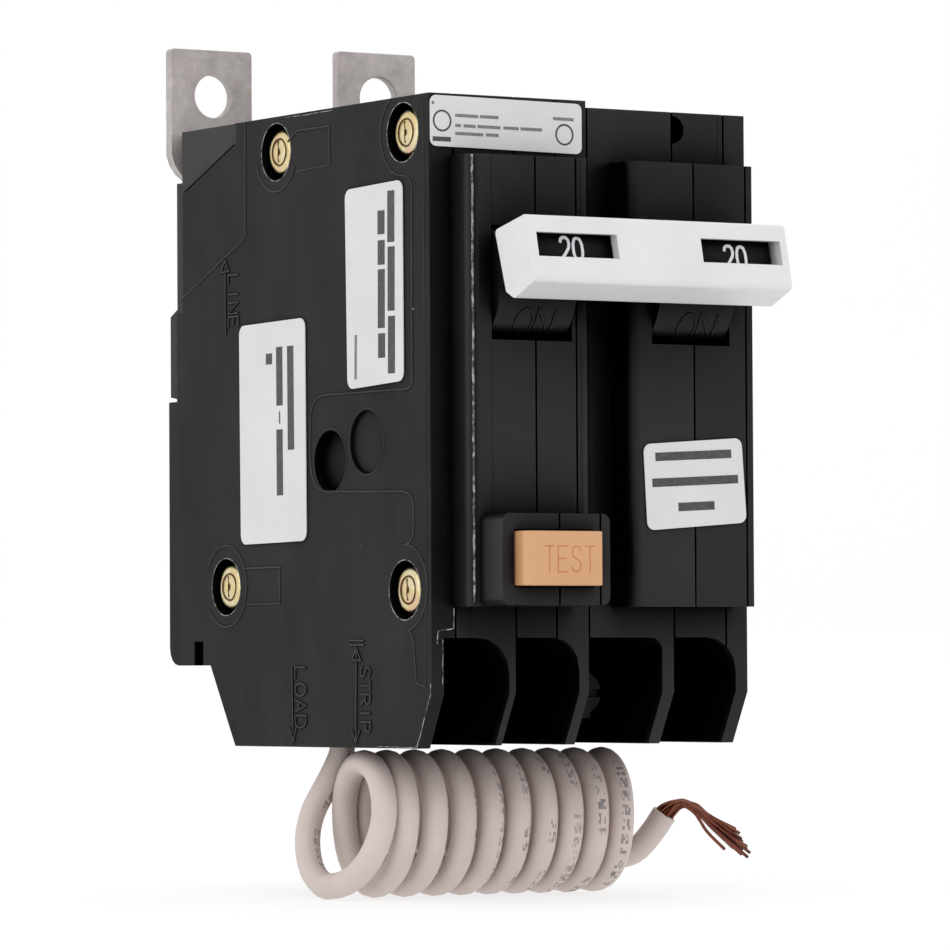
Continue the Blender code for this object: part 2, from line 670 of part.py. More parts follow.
def magnet(side, shift):
    """The fixed yoke and the armature that it pulls in."""
    yoke = box(f"{side}_magnet_yoke", (13.5 + shift, 18.2 + shift), (31.8, 37.0), (25.0, 36.0))
    cut(yoke, box(f"{side}_yoke_gap", (14.7 + shift, 17.0 + shift), (31.0, 35.5), (24.0, 37.0)))
    finish(yoke, "steel")
    armature = box(f"{side}_armature", (13.5 + shift, 18.2 + shift), (27.4, 28.6), (24.0, 40.5))
    finish(armature, "steel", at(15.85 + shift, *ARMATURE_PIVOT))


def arc_chute(side, shift):
    """A stack of plates in a side frame round the opening contacts."""
    item = box(f"{side}_arc_chute", (12.9 + shift, 13.7 + shift), (59.8, 66.6), (46.0, 64.0))
    for index in range(5):
        z = 47.0 + index * 3.5
        join(item, box(f"{side}_arc_plate_{index}", (6.6 + shift, 13.2 + shift), (60.0, 66.4), (z, z + 1.1)))
    return finish(item, "steel")


# ---------------------------------------------------------------- load terminals

def load_terminal(name, centre, riser_top):
    """An angle in the wire pocket, its strap through the pocket's rear wall, its clamp and its screw."""
    half = 2.9
    item = box(f"{name}_terminal", (centre - half, centre + half), (19.5, 21.0), (2.6, 11.9))
    join(item, box(f"{name}_tongue", (centre - 2.1, centre + 2.1), (19.5, 32.9), (11.5, 12.9)))
    join(item, box(f"{name}_riser", (centre - 2.1, centre + 2.1), (31.5, 32.9), (11.5, riser_top)))
    cut(item, cylinder(f"{name}_tap", "Y", (centre, 18.0, 6.9), 4.5, 1.9, segments=20))
    finish(item, "steel")
    plate = box(f"{name}_clamp", (centre - half, centre + half), (17.3, 18.5), (3.4, 10.4))
    cut(plate, cylinder(f"{name}_clamp_hole", "Y", (centre, 16.0, 6.9), 4, 1.9, segments=20))
    finish(plate, "steel")
    screw = cylinder(f"{name}_screw", "Y", (centre, 14.6, 6.9), 2.4, half, segments=24)
    join(screw, cylinder(f"{name}_shank", "Y", (centre, 16.5, 6.9), 7.0, 1.6, segments=20))
    cut(screw, box(f"{name}_slot", (centre - 4, centre + 4), (14.0, 15.6), (6.4, 7.4)))
    finish(screw, "steel", at(centre, 14.6, 6.9))


# ---------------------------------------------------------------- ground-fault module

def ground_fault_module():
    """The board, the current transformer, and the trip solenoid with its plunger."""
    outline = [(14, 31), (61, 31), (61, 74), (50, 74), (45, 70), (30, 70), (26, 74), (14, 74)]
    board = prism("ground_fault_board", "YZ", outline, (26.9, 28.5))
    chip = box("board_chip", (25.0, 27.2), (20, 30), (46, 52))
    capacitor = cylinder("board_capacitor", "X", (22.6, 40, 60), 4.6, 4.0, segments=20)
    resistor = box("board_resistor", (24.6, 27.2), (20, 32), (60, 64))
    join(board, chip, capacitor, resistor)
    finish(board, "board_green")
    transformer = turned("current_transformer", [(8.2, 6.4), (8.2, 0), (4.2, 0), (4.2, 6.4)],
                         (22.2, 39.4, 13.0), "X", 24)
    finish(transformer, "ferrite_grey")
    coil = turned("solenoid_coil", [(2.4, 12), (2.4, 0), (1.1, 0), (1.1, 12)], (24.0, 54.0, 52.0), "Z", 20)
    finish(coil, "bobbin_tan")
    plunger = cylinder("solenoid_plunger", "Z", (24.0, 54.0, 45.0), 17.0, 0.8, segments=16)
    finish(plunger, "steel", at(24.0, 54.0, 45.0))


# ---------------------------------------------------------------- neutral lead

def pigtail():
    """The neutral lead: out through the bottom, wound as a long coil along the width, ending bare."""
    lead = [(LEAD_X, LEAD_Y, z) for z in (11.0, 6.0, 1.0, -3.6)]
    finish(tube("pigtail_lead", lead, WIRE_R), "wire_ivory")
    length = COIL_END - COIL_START
    bore = COIL_OUTER_R - 2 * WIRE_R
    ring = turned(
        "pigtail_coil",
        [(COIL_OUTER_R, length), (COIL_OUTER_R, 0), (bore, 0), (bore, length)],
        (COIL_START, COIL_Y, COIL_Z), "X", 32,
    )
    finish(ring, "wire_ivory")
    tail = [
        (49.0, 28.9, -15.5), (50.0, 27.9, -15.1), (51.0, 26.8, -14.1), (51.9, 25.6, -12.6), (52.7, 24.6, -11.0),
        (53.2, 24.0, -10.1),
    ]
    finish(tube("pigtail_tail", tail, WIRE_R), "wire_ivory")
    strands = [(54.0, 23.2, -8.9), (56.0, 22.9, -8.2), (60.0, 23.1, -10.2), (64.0, 23.4, -12.9), (67.2, 23.6, -15.3)]
    finish(tube("pigtail_strands", strands, 1.3), "copper")


def build():
    left_cover()
    left_base()
    left_middle()
    left_inner_cover()
    right_base()
    right_middle()
    right_cover()
    for index, (y, z) in enumerate(RIVETS):
        rivet(index, y, z)
    labels()
    handle_tie()
    handle("left_handle", 0)
    handle("right_handle", 1)
    handle_pin("left_handle_pin", 5.2, 20.3)
    handle_pin("right_handle_pin", 30.6, 45.9)
    test_button()
    test_switch()
    line_strap("left", 0.0, 98.9, 6.0)
    line_strap("right", 27.6, 99.9, 31.5)
    for side, shift in (("left", 0.0), ("right", POLE_PITCH)):
        contact_arm(side, shift)
        cradle(side, shift)
        main_spring(side, shift)
        bimetal(side, shift)
        magnet(side, shift)
        arc_chute(side, shift)
    load_terminal("left_load", 8.1, 17.6)
    load_terminal("neutral_load", 17.0, 15.0)
    load_terminal("right_load", 33.6, 17.6)
    ground_fault_module()
    pigtail()


build()
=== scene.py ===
"""Looks of the two-pole ground-fault breaker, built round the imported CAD.

Design sizes are millimetres from a datum corner: x from the left side face, y from the front of the
base (positive towards the panel), z from the bottom of the case. at() turns them into metres in the
part's own frame.
"""

import json
import math
import random

import bmesh
import bpy
from mathutils import Matrix, Vector


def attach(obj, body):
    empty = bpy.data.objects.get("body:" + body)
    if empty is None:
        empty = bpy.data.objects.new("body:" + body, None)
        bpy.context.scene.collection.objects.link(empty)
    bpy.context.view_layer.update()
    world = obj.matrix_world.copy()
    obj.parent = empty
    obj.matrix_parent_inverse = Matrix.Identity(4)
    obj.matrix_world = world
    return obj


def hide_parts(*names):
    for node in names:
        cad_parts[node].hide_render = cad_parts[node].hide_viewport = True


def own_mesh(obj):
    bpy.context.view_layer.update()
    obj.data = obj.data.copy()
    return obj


MM = 0.001
WIDTH, SEAT_Y, SEAT_Z = 50.8, 70.6, 31.0
TOWER_FRONT, BASE_FRONT, BUTTON_FRONT = -5.2, 0.0, -13.3

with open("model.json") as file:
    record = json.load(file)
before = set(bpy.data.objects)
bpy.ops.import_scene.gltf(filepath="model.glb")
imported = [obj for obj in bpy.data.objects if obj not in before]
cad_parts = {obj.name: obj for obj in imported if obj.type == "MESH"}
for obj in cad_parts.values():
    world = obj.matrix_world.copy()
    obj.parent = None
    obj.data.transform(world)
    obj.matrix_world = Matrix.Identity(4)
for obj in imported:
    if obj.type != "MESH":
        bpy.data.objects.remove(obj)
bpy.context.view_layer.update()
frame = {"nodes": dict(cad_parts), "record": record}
NODES = frame["nodes"]


def at(x, y, z):
    """Datum millimetres to metres in the part's frame."""
    return Vector(((x - WIDTH / 2) * MM, (y - SEAT_Y) * MM, (z - SEAT_Z) * MM))


# ---------------------------------------------------------------- camera

CAMERA_AT = (-416.03, -671.16, 10.04)
YAW, PITCH, ROLL = math.radians(32.22), math.radians(1.875), math.radians(-0.309)
LENS, SENSOR = 226.3074, 36.0


def make_camera():
    """The camera, a long lens from the left front and a little below."""
    right = Vector((math.cos(YAW), -math.sin(YAW), 0))
    ahead = Vector((math.sin(YAW) * math.cos(PITCH), math.cos(YAW) * math.cos(PITCH), math.sin(PITCH)))
    up = right.cross(ahead)
    level, tilt = math.cos(ROLL), math.sin(ROLL)
    right, up = right * level + up * tilt, up * level - right * tilt
    data = bpy.data.cameras.new("camera")
    data.sensor_width = SENSOR
    data.lens = LENS
    data.clip_start, data.clip_end = 0.01, 20
    camera = bpy.data.objects.new("camera", data)
    rotation = Matrix((right, up, -ahead)).transposed().to_4x4()
    camera.matrix_world = Matrix.Translation(at(*CAMERA_AT)) @ rotation
    bpy.context.scene.collection.objects.link(camera)
    bpy.context.scene.camera = camera


# ---------------------------------------------------------------- materials

# The third colour is painted shade for hollows and the wire pockets; the second length on the next line is
# how far the search for hollows reaches
EDGE_GREY, DUST_GREY, PAINTED_SHADE_BLACK = (0.20, 0.19, 0.185), (0.28, 0.26, 0.25), (0.0008, 0.0007, 0.0007)
WEAR_RADIUS, PAINTED_SHADE_REACH = 0.00022, 0.02
# Where the painted shade of the wire pockets lies, in design millimetres: their top and floor, the case's
# wall, and where their mouth is at the floor and how it leans with height
POCKET_TOP, POCKET_FLOOR, CASE_WALL = 14.35, 0.25, 0.4
MOUTH_AT_FLOOR, MOUTH_LEAN = 3.6, -0.514
# How fast the painted shade darkens behind the mouth, where that starts, and how dark it gets
POCKET_SHADE_FALL, POCKET_SHADE_START, POCKET_SHADE_DEPTH = 0.9, -0.25, -0.97
# The print on the wire: dashes, letters and words to the millimetre, rows round the wire, and half the
# printed band as a share of a turn
DASHES_PER_MM, LETTERS_PER_MM, WORDS_PER_MM, ROWS_ROUND, PRINT_HALF_WIDTH = 2.4, 0.6, 0.34, 44.0, 0.058


def ramp(tree, fac, stops):
    """A colour ramp; each stop is a position and a grey value or a colour."""
    node = tree.nodes.new("ShaderNodeValToRGB")
    elements = node.color_ramp.elements
    while len(elements) < len(stops):
        elements.new(0.5)
    for element, (position, value) in zip(elements, stops):
        element.position = position
        element.color = (*value, 1) if isinstance(value, tuple) else (value, value, value, 1)
    tree.links.new(fac, node.inputs[0])
    return node.outputs[0]


def fade(tree, fac, low, high, start=0.0, end=1.0):
    """A ramp from start at low to end at high."""
    return ramp(tree, fac, [(low, start), (high, end)])


def noise(tree, scale, detail, roughness, stretch=(1, 1, 1)):
    """Noise in object space; scale is in features per metre."""
    place = tree.nodes.new("ShaderNodeTexCoord")
    mapping = tree.nodes.new("ShaderNodeMapping")
    mapping.inputs["Scale"].default_value = stretch
    node = tree.nodes.new("ShaderNodeTexNoise")
    node.inputs["Scale"].default_value = scale
    node.inputs["Detail"].default_value = detail
    node.inputs["Roughness"].default_value = roughness
    tree.links.new(place.outputs["Object"], mapping.inputs[0])
    tree.links.new(mapping.outputs[0], node.inputs["Vector"])
    return node.outputs["Fac"]


def maths(tree, operation, *values, clamp=False):
    """A maths node on sockets or numbers."""
    node = tree.nodes.new("ShaderNodeMath")
    node.operation = operation
    node.use_clamp = clamp
    for index, value in enumerate(values):
        if isinstance(value, (int, float)):
            node.inputs[index].default_value = value
        else:
            tree.links.new(value, node.inputs[index])
    return node.outputs[0]


def mix(tree, fac, a, b):
    """Mix of two colours; either may be a socket or a tuple."""
    node = tree.nodes.new("ShaderNodeMix")
    node.data_type = "RGBA"
    for socket, value in ((node.inputs["Factor"], fac), (node.inputs["A"], a), (node.inputs["B"], b)):
        if isinstance(value, tuple):
            socket.default_value = (*value, 1)
        elif isinstance(value, (int, float)):
            socket.default_value = value
        else:
            tree.links.new(value, socket)
    return node.outputs["Result"]


def cover(tree, base, mask, amount, colour):
    """The base with a colour laid over it where the mask is."""
    return mix(tree, maths(tree, "MULTIPLY", mask, amount), base, colour)


def uneven_gloss(tree, shader, field, low, high):
    """Roughness that follows a noise field from low to high."""
    tree.links.new(fade(tree, field, 0.3, 0.7, low, high), shader.inputs["Roughness"])


def bump(tree, shader, height, distance, strength):
    """A fine surface, with its depth in metres."""
    node = tree.nodes.new("ShaderNodeBump")
    node.inputs["Distance"].default_value = distance
    node.inputs["Strength"].default_value = strength
    tree.links.new(height, node.inputs["Height"])
    tree.links.new(node.outputs[0], shader.inputs["Normal"])


def new_material(name, metallic=0.0, **sockets):
    """A Principled material with its uniform values set on its own sockets."""
    made = bpy.data.materials.new(name)
    made.use_nodes = True
    shader = made.node_tree.nodes["Principled BSDF"]
    shader.inputs["Metallic"].default_value = metallic
    for socket, value in sockets.items():
        shader.inputs[socket.replace("_", " ")].default_value = value
    return made, made.node_tree, shader


def edge_wear(tree, radius, low, high):
    """A mask of the piece's sharp edges, broken up by noise."""
    bevel = tree.nodes.new("ShaderNodeBevel")
    bevel.samples = 2
    bevel.inputs["Radius"].default_value = radius
    geometry = tree.nodes.new("ShaderNodeNewGeometry")
    dot = tree.nodes.new("ShaderNodeVectorMath")
    dot.operation = "DOT_PRODUCT"
    tree.links.new(bevel.outputs[0], dot.inputs[0])
    tree.links.new(geometry.outputs["Normal"], dot.inputs[1])
    edge = fade(tree, dot.outputs["Value"], 0.70, 0.97, 1.0, 0.0)
    patches = fade(tree, noise(tree, 260, 5, 0.6), low, high)
    return maths(tree, "MULTIPLY", edge, patches)


def pocket_shade_factor(tree):
    """Painted shade for the wire pockets: one outside them, falling to nearly nothing a little way behind
    their mouths.
    """
    place = tree.nodes.new("ShaderNodeTexCoord")
    split = tree.nodes.new("ShaderNodeSeparateXYZ")
    tree.links.new(place.outputs["Object"], split.inputs[0])
    across = maths(tree, "ABSOLUTE", split.outputs[0])
    y = maths(tree, "MULTIPLY_ADD", split.outputs[1], 1 / MM, SEAT_Y)
    z = maths(tree, "MULTIPLY_ADD", split.outputs[2], 1 / MM, SEAT_Z)
    mouth = maths(tree, "MAXIMUM", maths(tree, "MULTIPLY_ADD", z, MOUTH_LEAN, MOUTH_AT_FLOOR), 0.0)
    behind = maths(tree, "SUBTRACT", y, mouth)
    inside = maths(tree, "MULTIPLY_ADD", behind, POCKET_SHADE_FALL, POCKET_SHADE_START, clamp=True)
    for limit in (
        maths(tree, "LESS_THAN", z, POCKET_TOP), maths(tree, "GREATER_THAN", z, POCKET_FLOOR),
        maths(tree, "LESS_THAN", across, (WIDTH / 2 - CASE_WALL) * MM),
    ):
        inside = maths(tree, "MULTIPLY", inside, limit)
    return maths(tree, "MULTIPLY_ADD", inside, POCKET_SHADE_DEPTH, 1.0)


def moulded_black(name, dark, light, roughness, worn=0.35, shine=0.3):
    """Moulded phenolic: a fine satin grain, faint cloudy patches, dust specks, slightly worn edges, and
    painted shade that blackens hollows and the wire pockets and dims their reflection.
    """
    made, tree, shader = new_material(name, IOR=1.5)
    cloud = noise(tree, 55, 5, 0.6)
    base = mix(tree, fade(tree, cloud, 0.35, 0.68), dark, light)
    specks = fade(tree, noise(tree, 2400, 1, 0.5), 0.785, 0.82)
    base = cover(tree, base, specks, 0.3, DUST_GREY)
    base = cover(tree, base, edge_wear(tree, WEAR_RADIUS, 0.45, 0.75), worn, EDGE_GREY)
    # Painted shade: near black laid over the colour, with the reflection turned down, where occlusion finds a
    # hollow and inside the wire pockets
    hollow = tree.nodes.new("ShaderNodeAmbientOcclusion")
    hollow.samples = 2
    hollow.inputs["Distance"].default_value = PAINTED_SHADE_REACH
    unshaded = maths(tree, "MULTIPLY", fade(tree, hollow.outputs["AO"], 0.5, 0.9), pocket_shade_factor(tree))
    tree.links.new(mix(tree, unshaded, PAINTED_SHADE_BLACK, base), shader.inputs["Base Color"])
    tree.links.new(maths(tree, "MULTIPLY", unshaded, shine), shader.inputs["Specular IOR Level"])
    streak = noise(tree, 180, 4, 0.6, (1, 1, 0.25))
    uneven_gloss(tree, shader, streak, roughness - 0.07, roughness + 0.07)
    grain = noise(tree, 4200, 2, 0.5)
    wave = noise(tree, 160, 2, 0.5)
    height = maths(tree, "ADD", maths(tree, "MULTIPLY", grain, 0.35), wave)
    bump(tree, shader, height, 0.00006, 0.35)
    return made


def smooth_plastic(name, colour, second, roughness, coat=0.0, specks=None, subsurface=0.0):
    """Smooth coloured moulding with a soft change of colour and a faint orange-peel surface."""
    made, tree, shader = new_material(name, Coat_Weight=coat, Subsurface_Weight=subsurface,
                                      Subsurface_Radius=(0.002, 0.0015, 0.001))
    base = mix(tree, fade(tree, noise(tree, 90, 4, 0.55), 0.35, 0.65), colour, second)
    if specks:
        dots = fade(tree, noise(tree, 520, 2, 0.5), 0.72, 0.75)
        base = cover(tree, base, dots, 0.35, specks)
    tree.links.new(base, shader.inputs["Base Color"])
    uneven_gloss(tree, shader, noise(tree, 240, 3, 0.5), roughness - 0.05, roughness + 0.06)
    bump(tree, shader, noise(tree, 900, 3, 0.5), 0.00004, 0.25)
    return made


def paper(name):
    """Coated label stock."""
    made, tree, shader = new_material(name, Coat_Weight=0.25, Coat_Roughness=0.35)
    cloud = fade(tree, noise(tree, 120, 4, 0.6), 0.35, 0.7)
    tree.links.new(mix(tree, cloud, (0.62, 0.605, 0.625), (0.66, 0.645, 0.665)), shader.inputs["Base Color"])
    uneven_gloss(tree, shader, noise(tree, 1500, 3, 0.6), 0.42, 0.55)
    bump(tree, shader, noise(tree, 3500, 3, 0.6), 0.00003, 0.4)
    return made


def ink(name, colour):
    """Printed ink with slightly uneven cover."""
    made, tree, shader = new_material(name)
    thin = tuple(channel * 1.8 + 0.03 for channel in colour)
    base = mix(tree, fade(tree, noise(tree, 2600, 3, 0.6), 0.3, 0.75), colour, thin)
    tree.links.new(base, shader.inputs["Base Color"])
    uneven_gloss(tree, shader, noise(tree, 900, 2, 0.5), 0.5, 0.65)
    return made


def plated(name, bright, dull, stain, roughness, spread=0.1, scale=150):
    """Plated or bare metal: mottled colour, darker stains and uneven roughness."""
    made, tree, shader = new_material(name, metallic=1.0)
    base = mix(tree, fade(tree, noise(tree, scale, 6, 0.65), 0.32, 0.68), dull, bright)
    spots = fade(tree, noise(tree, scale * 2.7, 4, 0.6), 0.55, 0.75)
    tree.links.new(cover(tree, base, spots, 0.7, stain), shader.inputs["Base Color"])
    uneven_gloss(tree, shader, noise(tree, scale * 1.8, 5, 0.6), roughness - spread, roughness + spread)
    bump(tree, shader, noise(tree, scale * 9, 4, 0.6), 0.00003, 0.4)
    return made


def tin(name):
    """Dull tin plate, grey and slightly pink, blotched as dipped tin is."""
    made, tree, shader = new_material(name, metallic=0.4)
    blotch = fade(tree, noise(tree, 420, 6, 0.7), 0.30, 0.72)
    base = mix(tree, blotch, (0.36, 0.325, 0.315), (0.56, 0.515, 0.50))
    big = fade(tree, noise(tree, 110, 4, 0.6), 0.45, 0.75)
    base = cover(tree, base, big, 0.45, (0.36, 0.32, 0.30))
    warm = fade(tree, noise(tree, 700, 2, 0.5), 0.68, 0.76)
    base = cover(tree, base, warm, 0.4, (0.55, 0.36, 0.24))
    tree.links.new(base, shader.inputs["Base Color"])
    uneven_gloss(tree, shader, noise(tree, 500, 5, 0.6), 0.40, 0.62)
    bump(tree, shader, noise(tree, 1100, 5, 0.65), 0.00006, 0.5)
    return made


def brass(name):
    """Yellow chromate on zinc: brass yellow with pink and straw bands."""
    made, tree, shader = new_material(name, metallic=1.0)
    tint = ramp(tree, noise(tree, 330, 3, 0.5), [
        (0.30, (0.70, 0.48, 0.33)), (0.45, (0.70, 0.57, 0.29)), (0.58, (0.74, 0.66, 0.42)),
        (0.72, (0.70, 0.43, 0.33)),
    ])
    tree.links.new(tint, shader.inputs["Base Color"])
    uneven_gloss(tree, shader, noise(tree, 900, 4, 0.6), 0.24, 0.42)
    bump(tree, shader, noise(tree, 1700, 4, 0.6), 0.00008, 0.6)
    return made


def wire_print(tree):
    """A mask of small dashes in broken words along the wire, from its own millimetres and turns."""
    uv = tree.nodes.new("ShaderNodeUVMap")
    uv.uv_map = "wire"
    split = tree.nodes.new("ShaderNodeSeparateXYZ")
    tree.links.new(uv.outputs[0], split.inputs[0])
    along, round_wire = split.outputs[0], maths(tree, "FRACT", split.outputs[1])
    cells = tree.nodes.new("ShaderNodeTexWhiteNoise")
    cells.noise_dimensions = "2D"
    join = tree.nodes.new("ShaderNodeCombineXYZ")
    column = maths(tree, "FLOOR", maths(tree, "MULTIPLY", along, DASHES_PER_MM))
    row = maths(tree, "FLOOR", maths(tree, "MULTIPLY", round_wire, ROWS_ROUND))
    tree.links.new(column, join.inputs[0])
    tree.links.new(row, join.inputs[1])
    tree.links.new(join.outputs[0], cells.inputs["Vector"])
    letters = maths(tree, "GREATER_THAN", cells.outputs[0], 0.46)
    words = tree.nodes.new("ShaderNodeTexWhiteNoise")
    words.noise_dimensions = "1D"
    tree.links.new(maths(tree, "FLOOR", maths(tree, "MULTIPLY", along, WORDS_PER_MM)), words.inputs["W"])
    gap = maths(tree, "GREATER_THAN", words.outputs[0], 0.30)
    pitch = maths(tree, "FRACT", maths(tree, "MULTIPLY", along, LETTERS_PER_MM))
    spacing = maths(tree, "LESS_THAN", pitch, 0.72)
    off_line = maths(tree, "ABSOLUTE", maths(tree, "SUBTRACT", round_wire, 0.5))
    band = maths(tree, "LESS_THAN", off_line, PRINT_HALF_WIDTH)
    dashes = maths(tree, "MULTIPLY", letters, gap)
    return maths(tree, "MULTIPLY", dashes, maths(tree, "MULTIPLY", spacing, band))


def insulation(name):
    """Ivory PVC, slightly pink, with scuffs and a broken line of grey print that creeps round the wire."""
    made, tree, shader = new_material(name, Subsurface_Weight=0.08, Subsurface_Radius=(0.003, 0.0018, 0.0014),
                                      Coat_Weight=0.06, Coat_Roughness=0.4)
    soft = fade(tree, noise(tree, 70, 4, 0.6), 0.3, 0.7)
    base = mix(tree, soft, (0.54, 0.447, 0.417), (0.62, 0.530, 0.500))
    scuffs = fade(tree, noise(tree, 900, 3, 0.6), 0.70, 0.76)
    base = cover(tree, base, scuffs, 0.25, (0.45, 0.36, 0.33))
    faded = fade(tree, noise(tree, 450, 3, 0.6), 0.35, 0.65, 0.45, 0.9)
    base = cover(tree, base, wire_print(tree), faded, (0.15, 0.14, 0.145))
    tree.links.new(base, shader.inputs["Base Color"])
    uneven_gloss(tree, shader, noise(tree, 350, 4, 0.6), 0.40, 0.58)
    bump(tree, shader, noise(tree, 700, 4, 0.6), 0.00006, 0.35)
    return made


def flash_line(name):
    """Ragged pale flash where two mouldings meet: grey white in places, black in others."""
    made, tree, shader = new_material(name)
    patches = fade(tree, noise(tree, 900, 4, 0.7), 0.44, 0.60)
    tree.links.new(mix(tree, patches, (0.03, 0.029, 0.028), (0.42, 0.40, 0.38)), shader.inputs["Base Color"])
    uneven_gloss(tree, shader, noise(tree, 500, 2, 0.5), 0.5, 0.7)
    return made


# Each finish: its function and what that takes after the name
MAKERS = {
    "case_black": (moulded_black, (0.0110, 0.0100, 0.0104), (0.0155, 0.0142, 0.0147), 0.33, 0.35, 0.24),
    "case_side": (moulded_black, (0.0110, 0.0105, 0.0103), (0.0160, 0.0154, 0.0151), 0.50, 0.35, 0.10),
    "case_brown_black": (moulded_black, (0.0100, 0.0088, 0.0080), (0.0145, 0.0124, 0.0111), 0.36, 0.35, 0.20),
    "gloss_black": (moulded_black, (0.006, 0.0057, 0.0057), (0.009, 0.0087, 0.0087), 0.27, 0.2, 0.3),
    "case_line": (moulded_black, (0.024, 0.023, 0.0225), (0.034, 0.033, 0.032), 0.45, 0.35, 0.2),
    "tie_white": (smooth_plastic, (0.66, 0.66, 0.672), (0.70, 0.70, 0.71), 0.38, 0.1,
                  (0.55, 0.45, 0.42), 0.05),
    "button_orange": (smooth_plastic, (0.575, 0.305, 0.148), (0.615, 0.335, 0.165), 0.40, 0.1, None, 0.08),
    # Darker orange that paints the shade of the button's engraved letters
    "button_mark": (smooth_plastic, (0.50, 0.17, 0.06), (0.56, 0.20, 0.08), 0.5),
    "label_white": (paper,),
    "ink_black": (ink, (0.03, 0.028, 0.028)),
    "ink_grey": (ink, (0.12, 0.115, 0.115)),
    "mark_white": (smooth_plastic, (0.70, 0.70, 0.74), (0.80, 0.80, 0.83), 0.5),
    "rivet_brass": (brass,),
    "rivet_mark": (plated, (0.20, 0.13, 0.05), (0.07, 0.045, 0.02), (0.02, 0.015, 0.012), 0.5, 0.08, 900),
    "tin_plate": (tin,),
    "steel": (plated, (0.62, 0.61, 0.60), (0.45, 0.44, 0.43), (0.30, 0.27, 0.24), 0.36),
    # Steel darkened as painted shade, for the metal deep in the wire pockets
    "shaded_steel": (plated, (0.10, 0.097, 0.095), (0.05, 0.048, 0.047), (0.02, 0.019, 0.018), 0.5),
    "copper": (plated, (0.62, 0.30, 0.19), (0.44, 0.19, 0.11), (0.20, 0.09, 0.05), 0.34),
    "strand_copper": (plated, (0.24, 0.08, 0.05), (0.12, 0.036, 0.022), (0.04, 0.013, 0.008),
                      0.36, 0.08, 700),
    "bimetal_grey": (plated, (0.50, 0.48, 0.45), (0.38, 0.36, 0.34), (0.25, 0.22, 0.19), 0.4),
    "board_green": (smooth_plastic, (0.02, 0.16, 0.07), (0.03, 0.21, 0.09), 0.4, 0.2),
    "ferrite_grey": (smooth_plastic, (0.07, 0.07, 0.075), (0.11, 0.11, 0.115), 0.6),
    "bobbin_tan": (plated, (0.50, 0.27, 0.12), (0.38, 0.19, 0.08), (0.22, 0.10, 0.04), 0.4),
    "wire_ivory": (insulation,),
    "flash": (flash_line,),
}
FINISHES = {}


def finish_of(name):
    """The named material, made once."""
    if name not in FINISHES:
        maker, *values = MAKERS[name]
        FINISHES[name] = maker(f"finish_{name}", *values)
    return FINISHES[name]


# ---------------------------------------------------------------- building blocks

def piece(name, shape, finish, body="case", smooth=False):
    """A finished piece from a bmesh, riding on a body."""
    bmesh.ops.recalc_face_normals(shape, faces=shape.faces)
    mesh = bpy.data.meshes.new(name)
    shape.to_mesh(mesh)
    shape.free()
    item = bpy.data.objects.new(name, mesh)
    bpy.context.scene.collection.objects.link(item)
    if smooth:
        mesh.shade_smooth()
    mesh.materials.append(finish_of(finish))
    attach(item, body)
    return item


def left_side(a, b, up):
    """A point on the left side face: a is y, b is z, up is how far it stands out."""
    return at(-up, a, b)


def front_of(y):
    """A mapping onto a face that looks forwards: a is x, b is z."""
    return lambda a, b, up: at(a, y - up, b)


def ribbon(shape, points, width, high, place, low=-0.05, closed=False, taper=0.25):
    """A solid bar along a flat line of points, with mitred corners and sloping sides."""
    flat = [Vector(p) for p in points]
    count = len(flat)
    rings = []
    for index, point in enumerate(flat):
        before = flat[index - 1] if closed or index else None
        after = flat[(index + 1) % count] if closed or index < count - 1 else None
        runs = [(point - before).normalized()] if before is not None else []
        runs += [(after - point).normalized()] if after is not None else []
        run = sum(runs, Vector((0, 0))).normalized()
        normal = Vector((-run.y, run.x))
        bend = max(0.45, abs(normal.dot(Vector((-runs[0].y, runs[0].x)))))
        wide = normal * width / 2 / bend
        narrow = wide * (1 - taper)
        rings.append([
            shape.verts.new(place(*(point + wide), low)), shape.verts.new(place(*(point + narrow), high)),
            shape.verts.new(place(*(point - narrow), high)), shape.verts.new(place(*(point - wide), low)),
        ])
    pairs = list(zip(rings, rings[1:])) + ([(rings[-1], rings[0])] if closed else [])
    for one, two in pairs:
        for k in range(4):
            shape.faces.new((one[k], one[(k + 1) % 4], two[(k + 1) % 4], two[k]))
    if not closed:
        shape.faces.new(rings[0])
        shape.faces.new(rings[-1])


def arc(centre, radius, start, end, steps=24):
    """Points round a circle, angles in degrees."""
    angles = [math.radians(start + (end - start) * k / steps) for k in range(steps + 1)]
    return [(centre[0] + radius * math.cos(angle), centre[1] + radius * math.sin(angle)) for angle in angles]


def ring(centre, radius):
    """Points all round a circle, for a closed ribbon."""
    return arc(centre, radius, 0, 351, 39)


def round_step(k, steps):
    """Cosine and sine of the k-th of equal steps round a full turn."""
    angle = 2 * math.pi * k / steps
    return math.cos(angle), math.sin(angle)


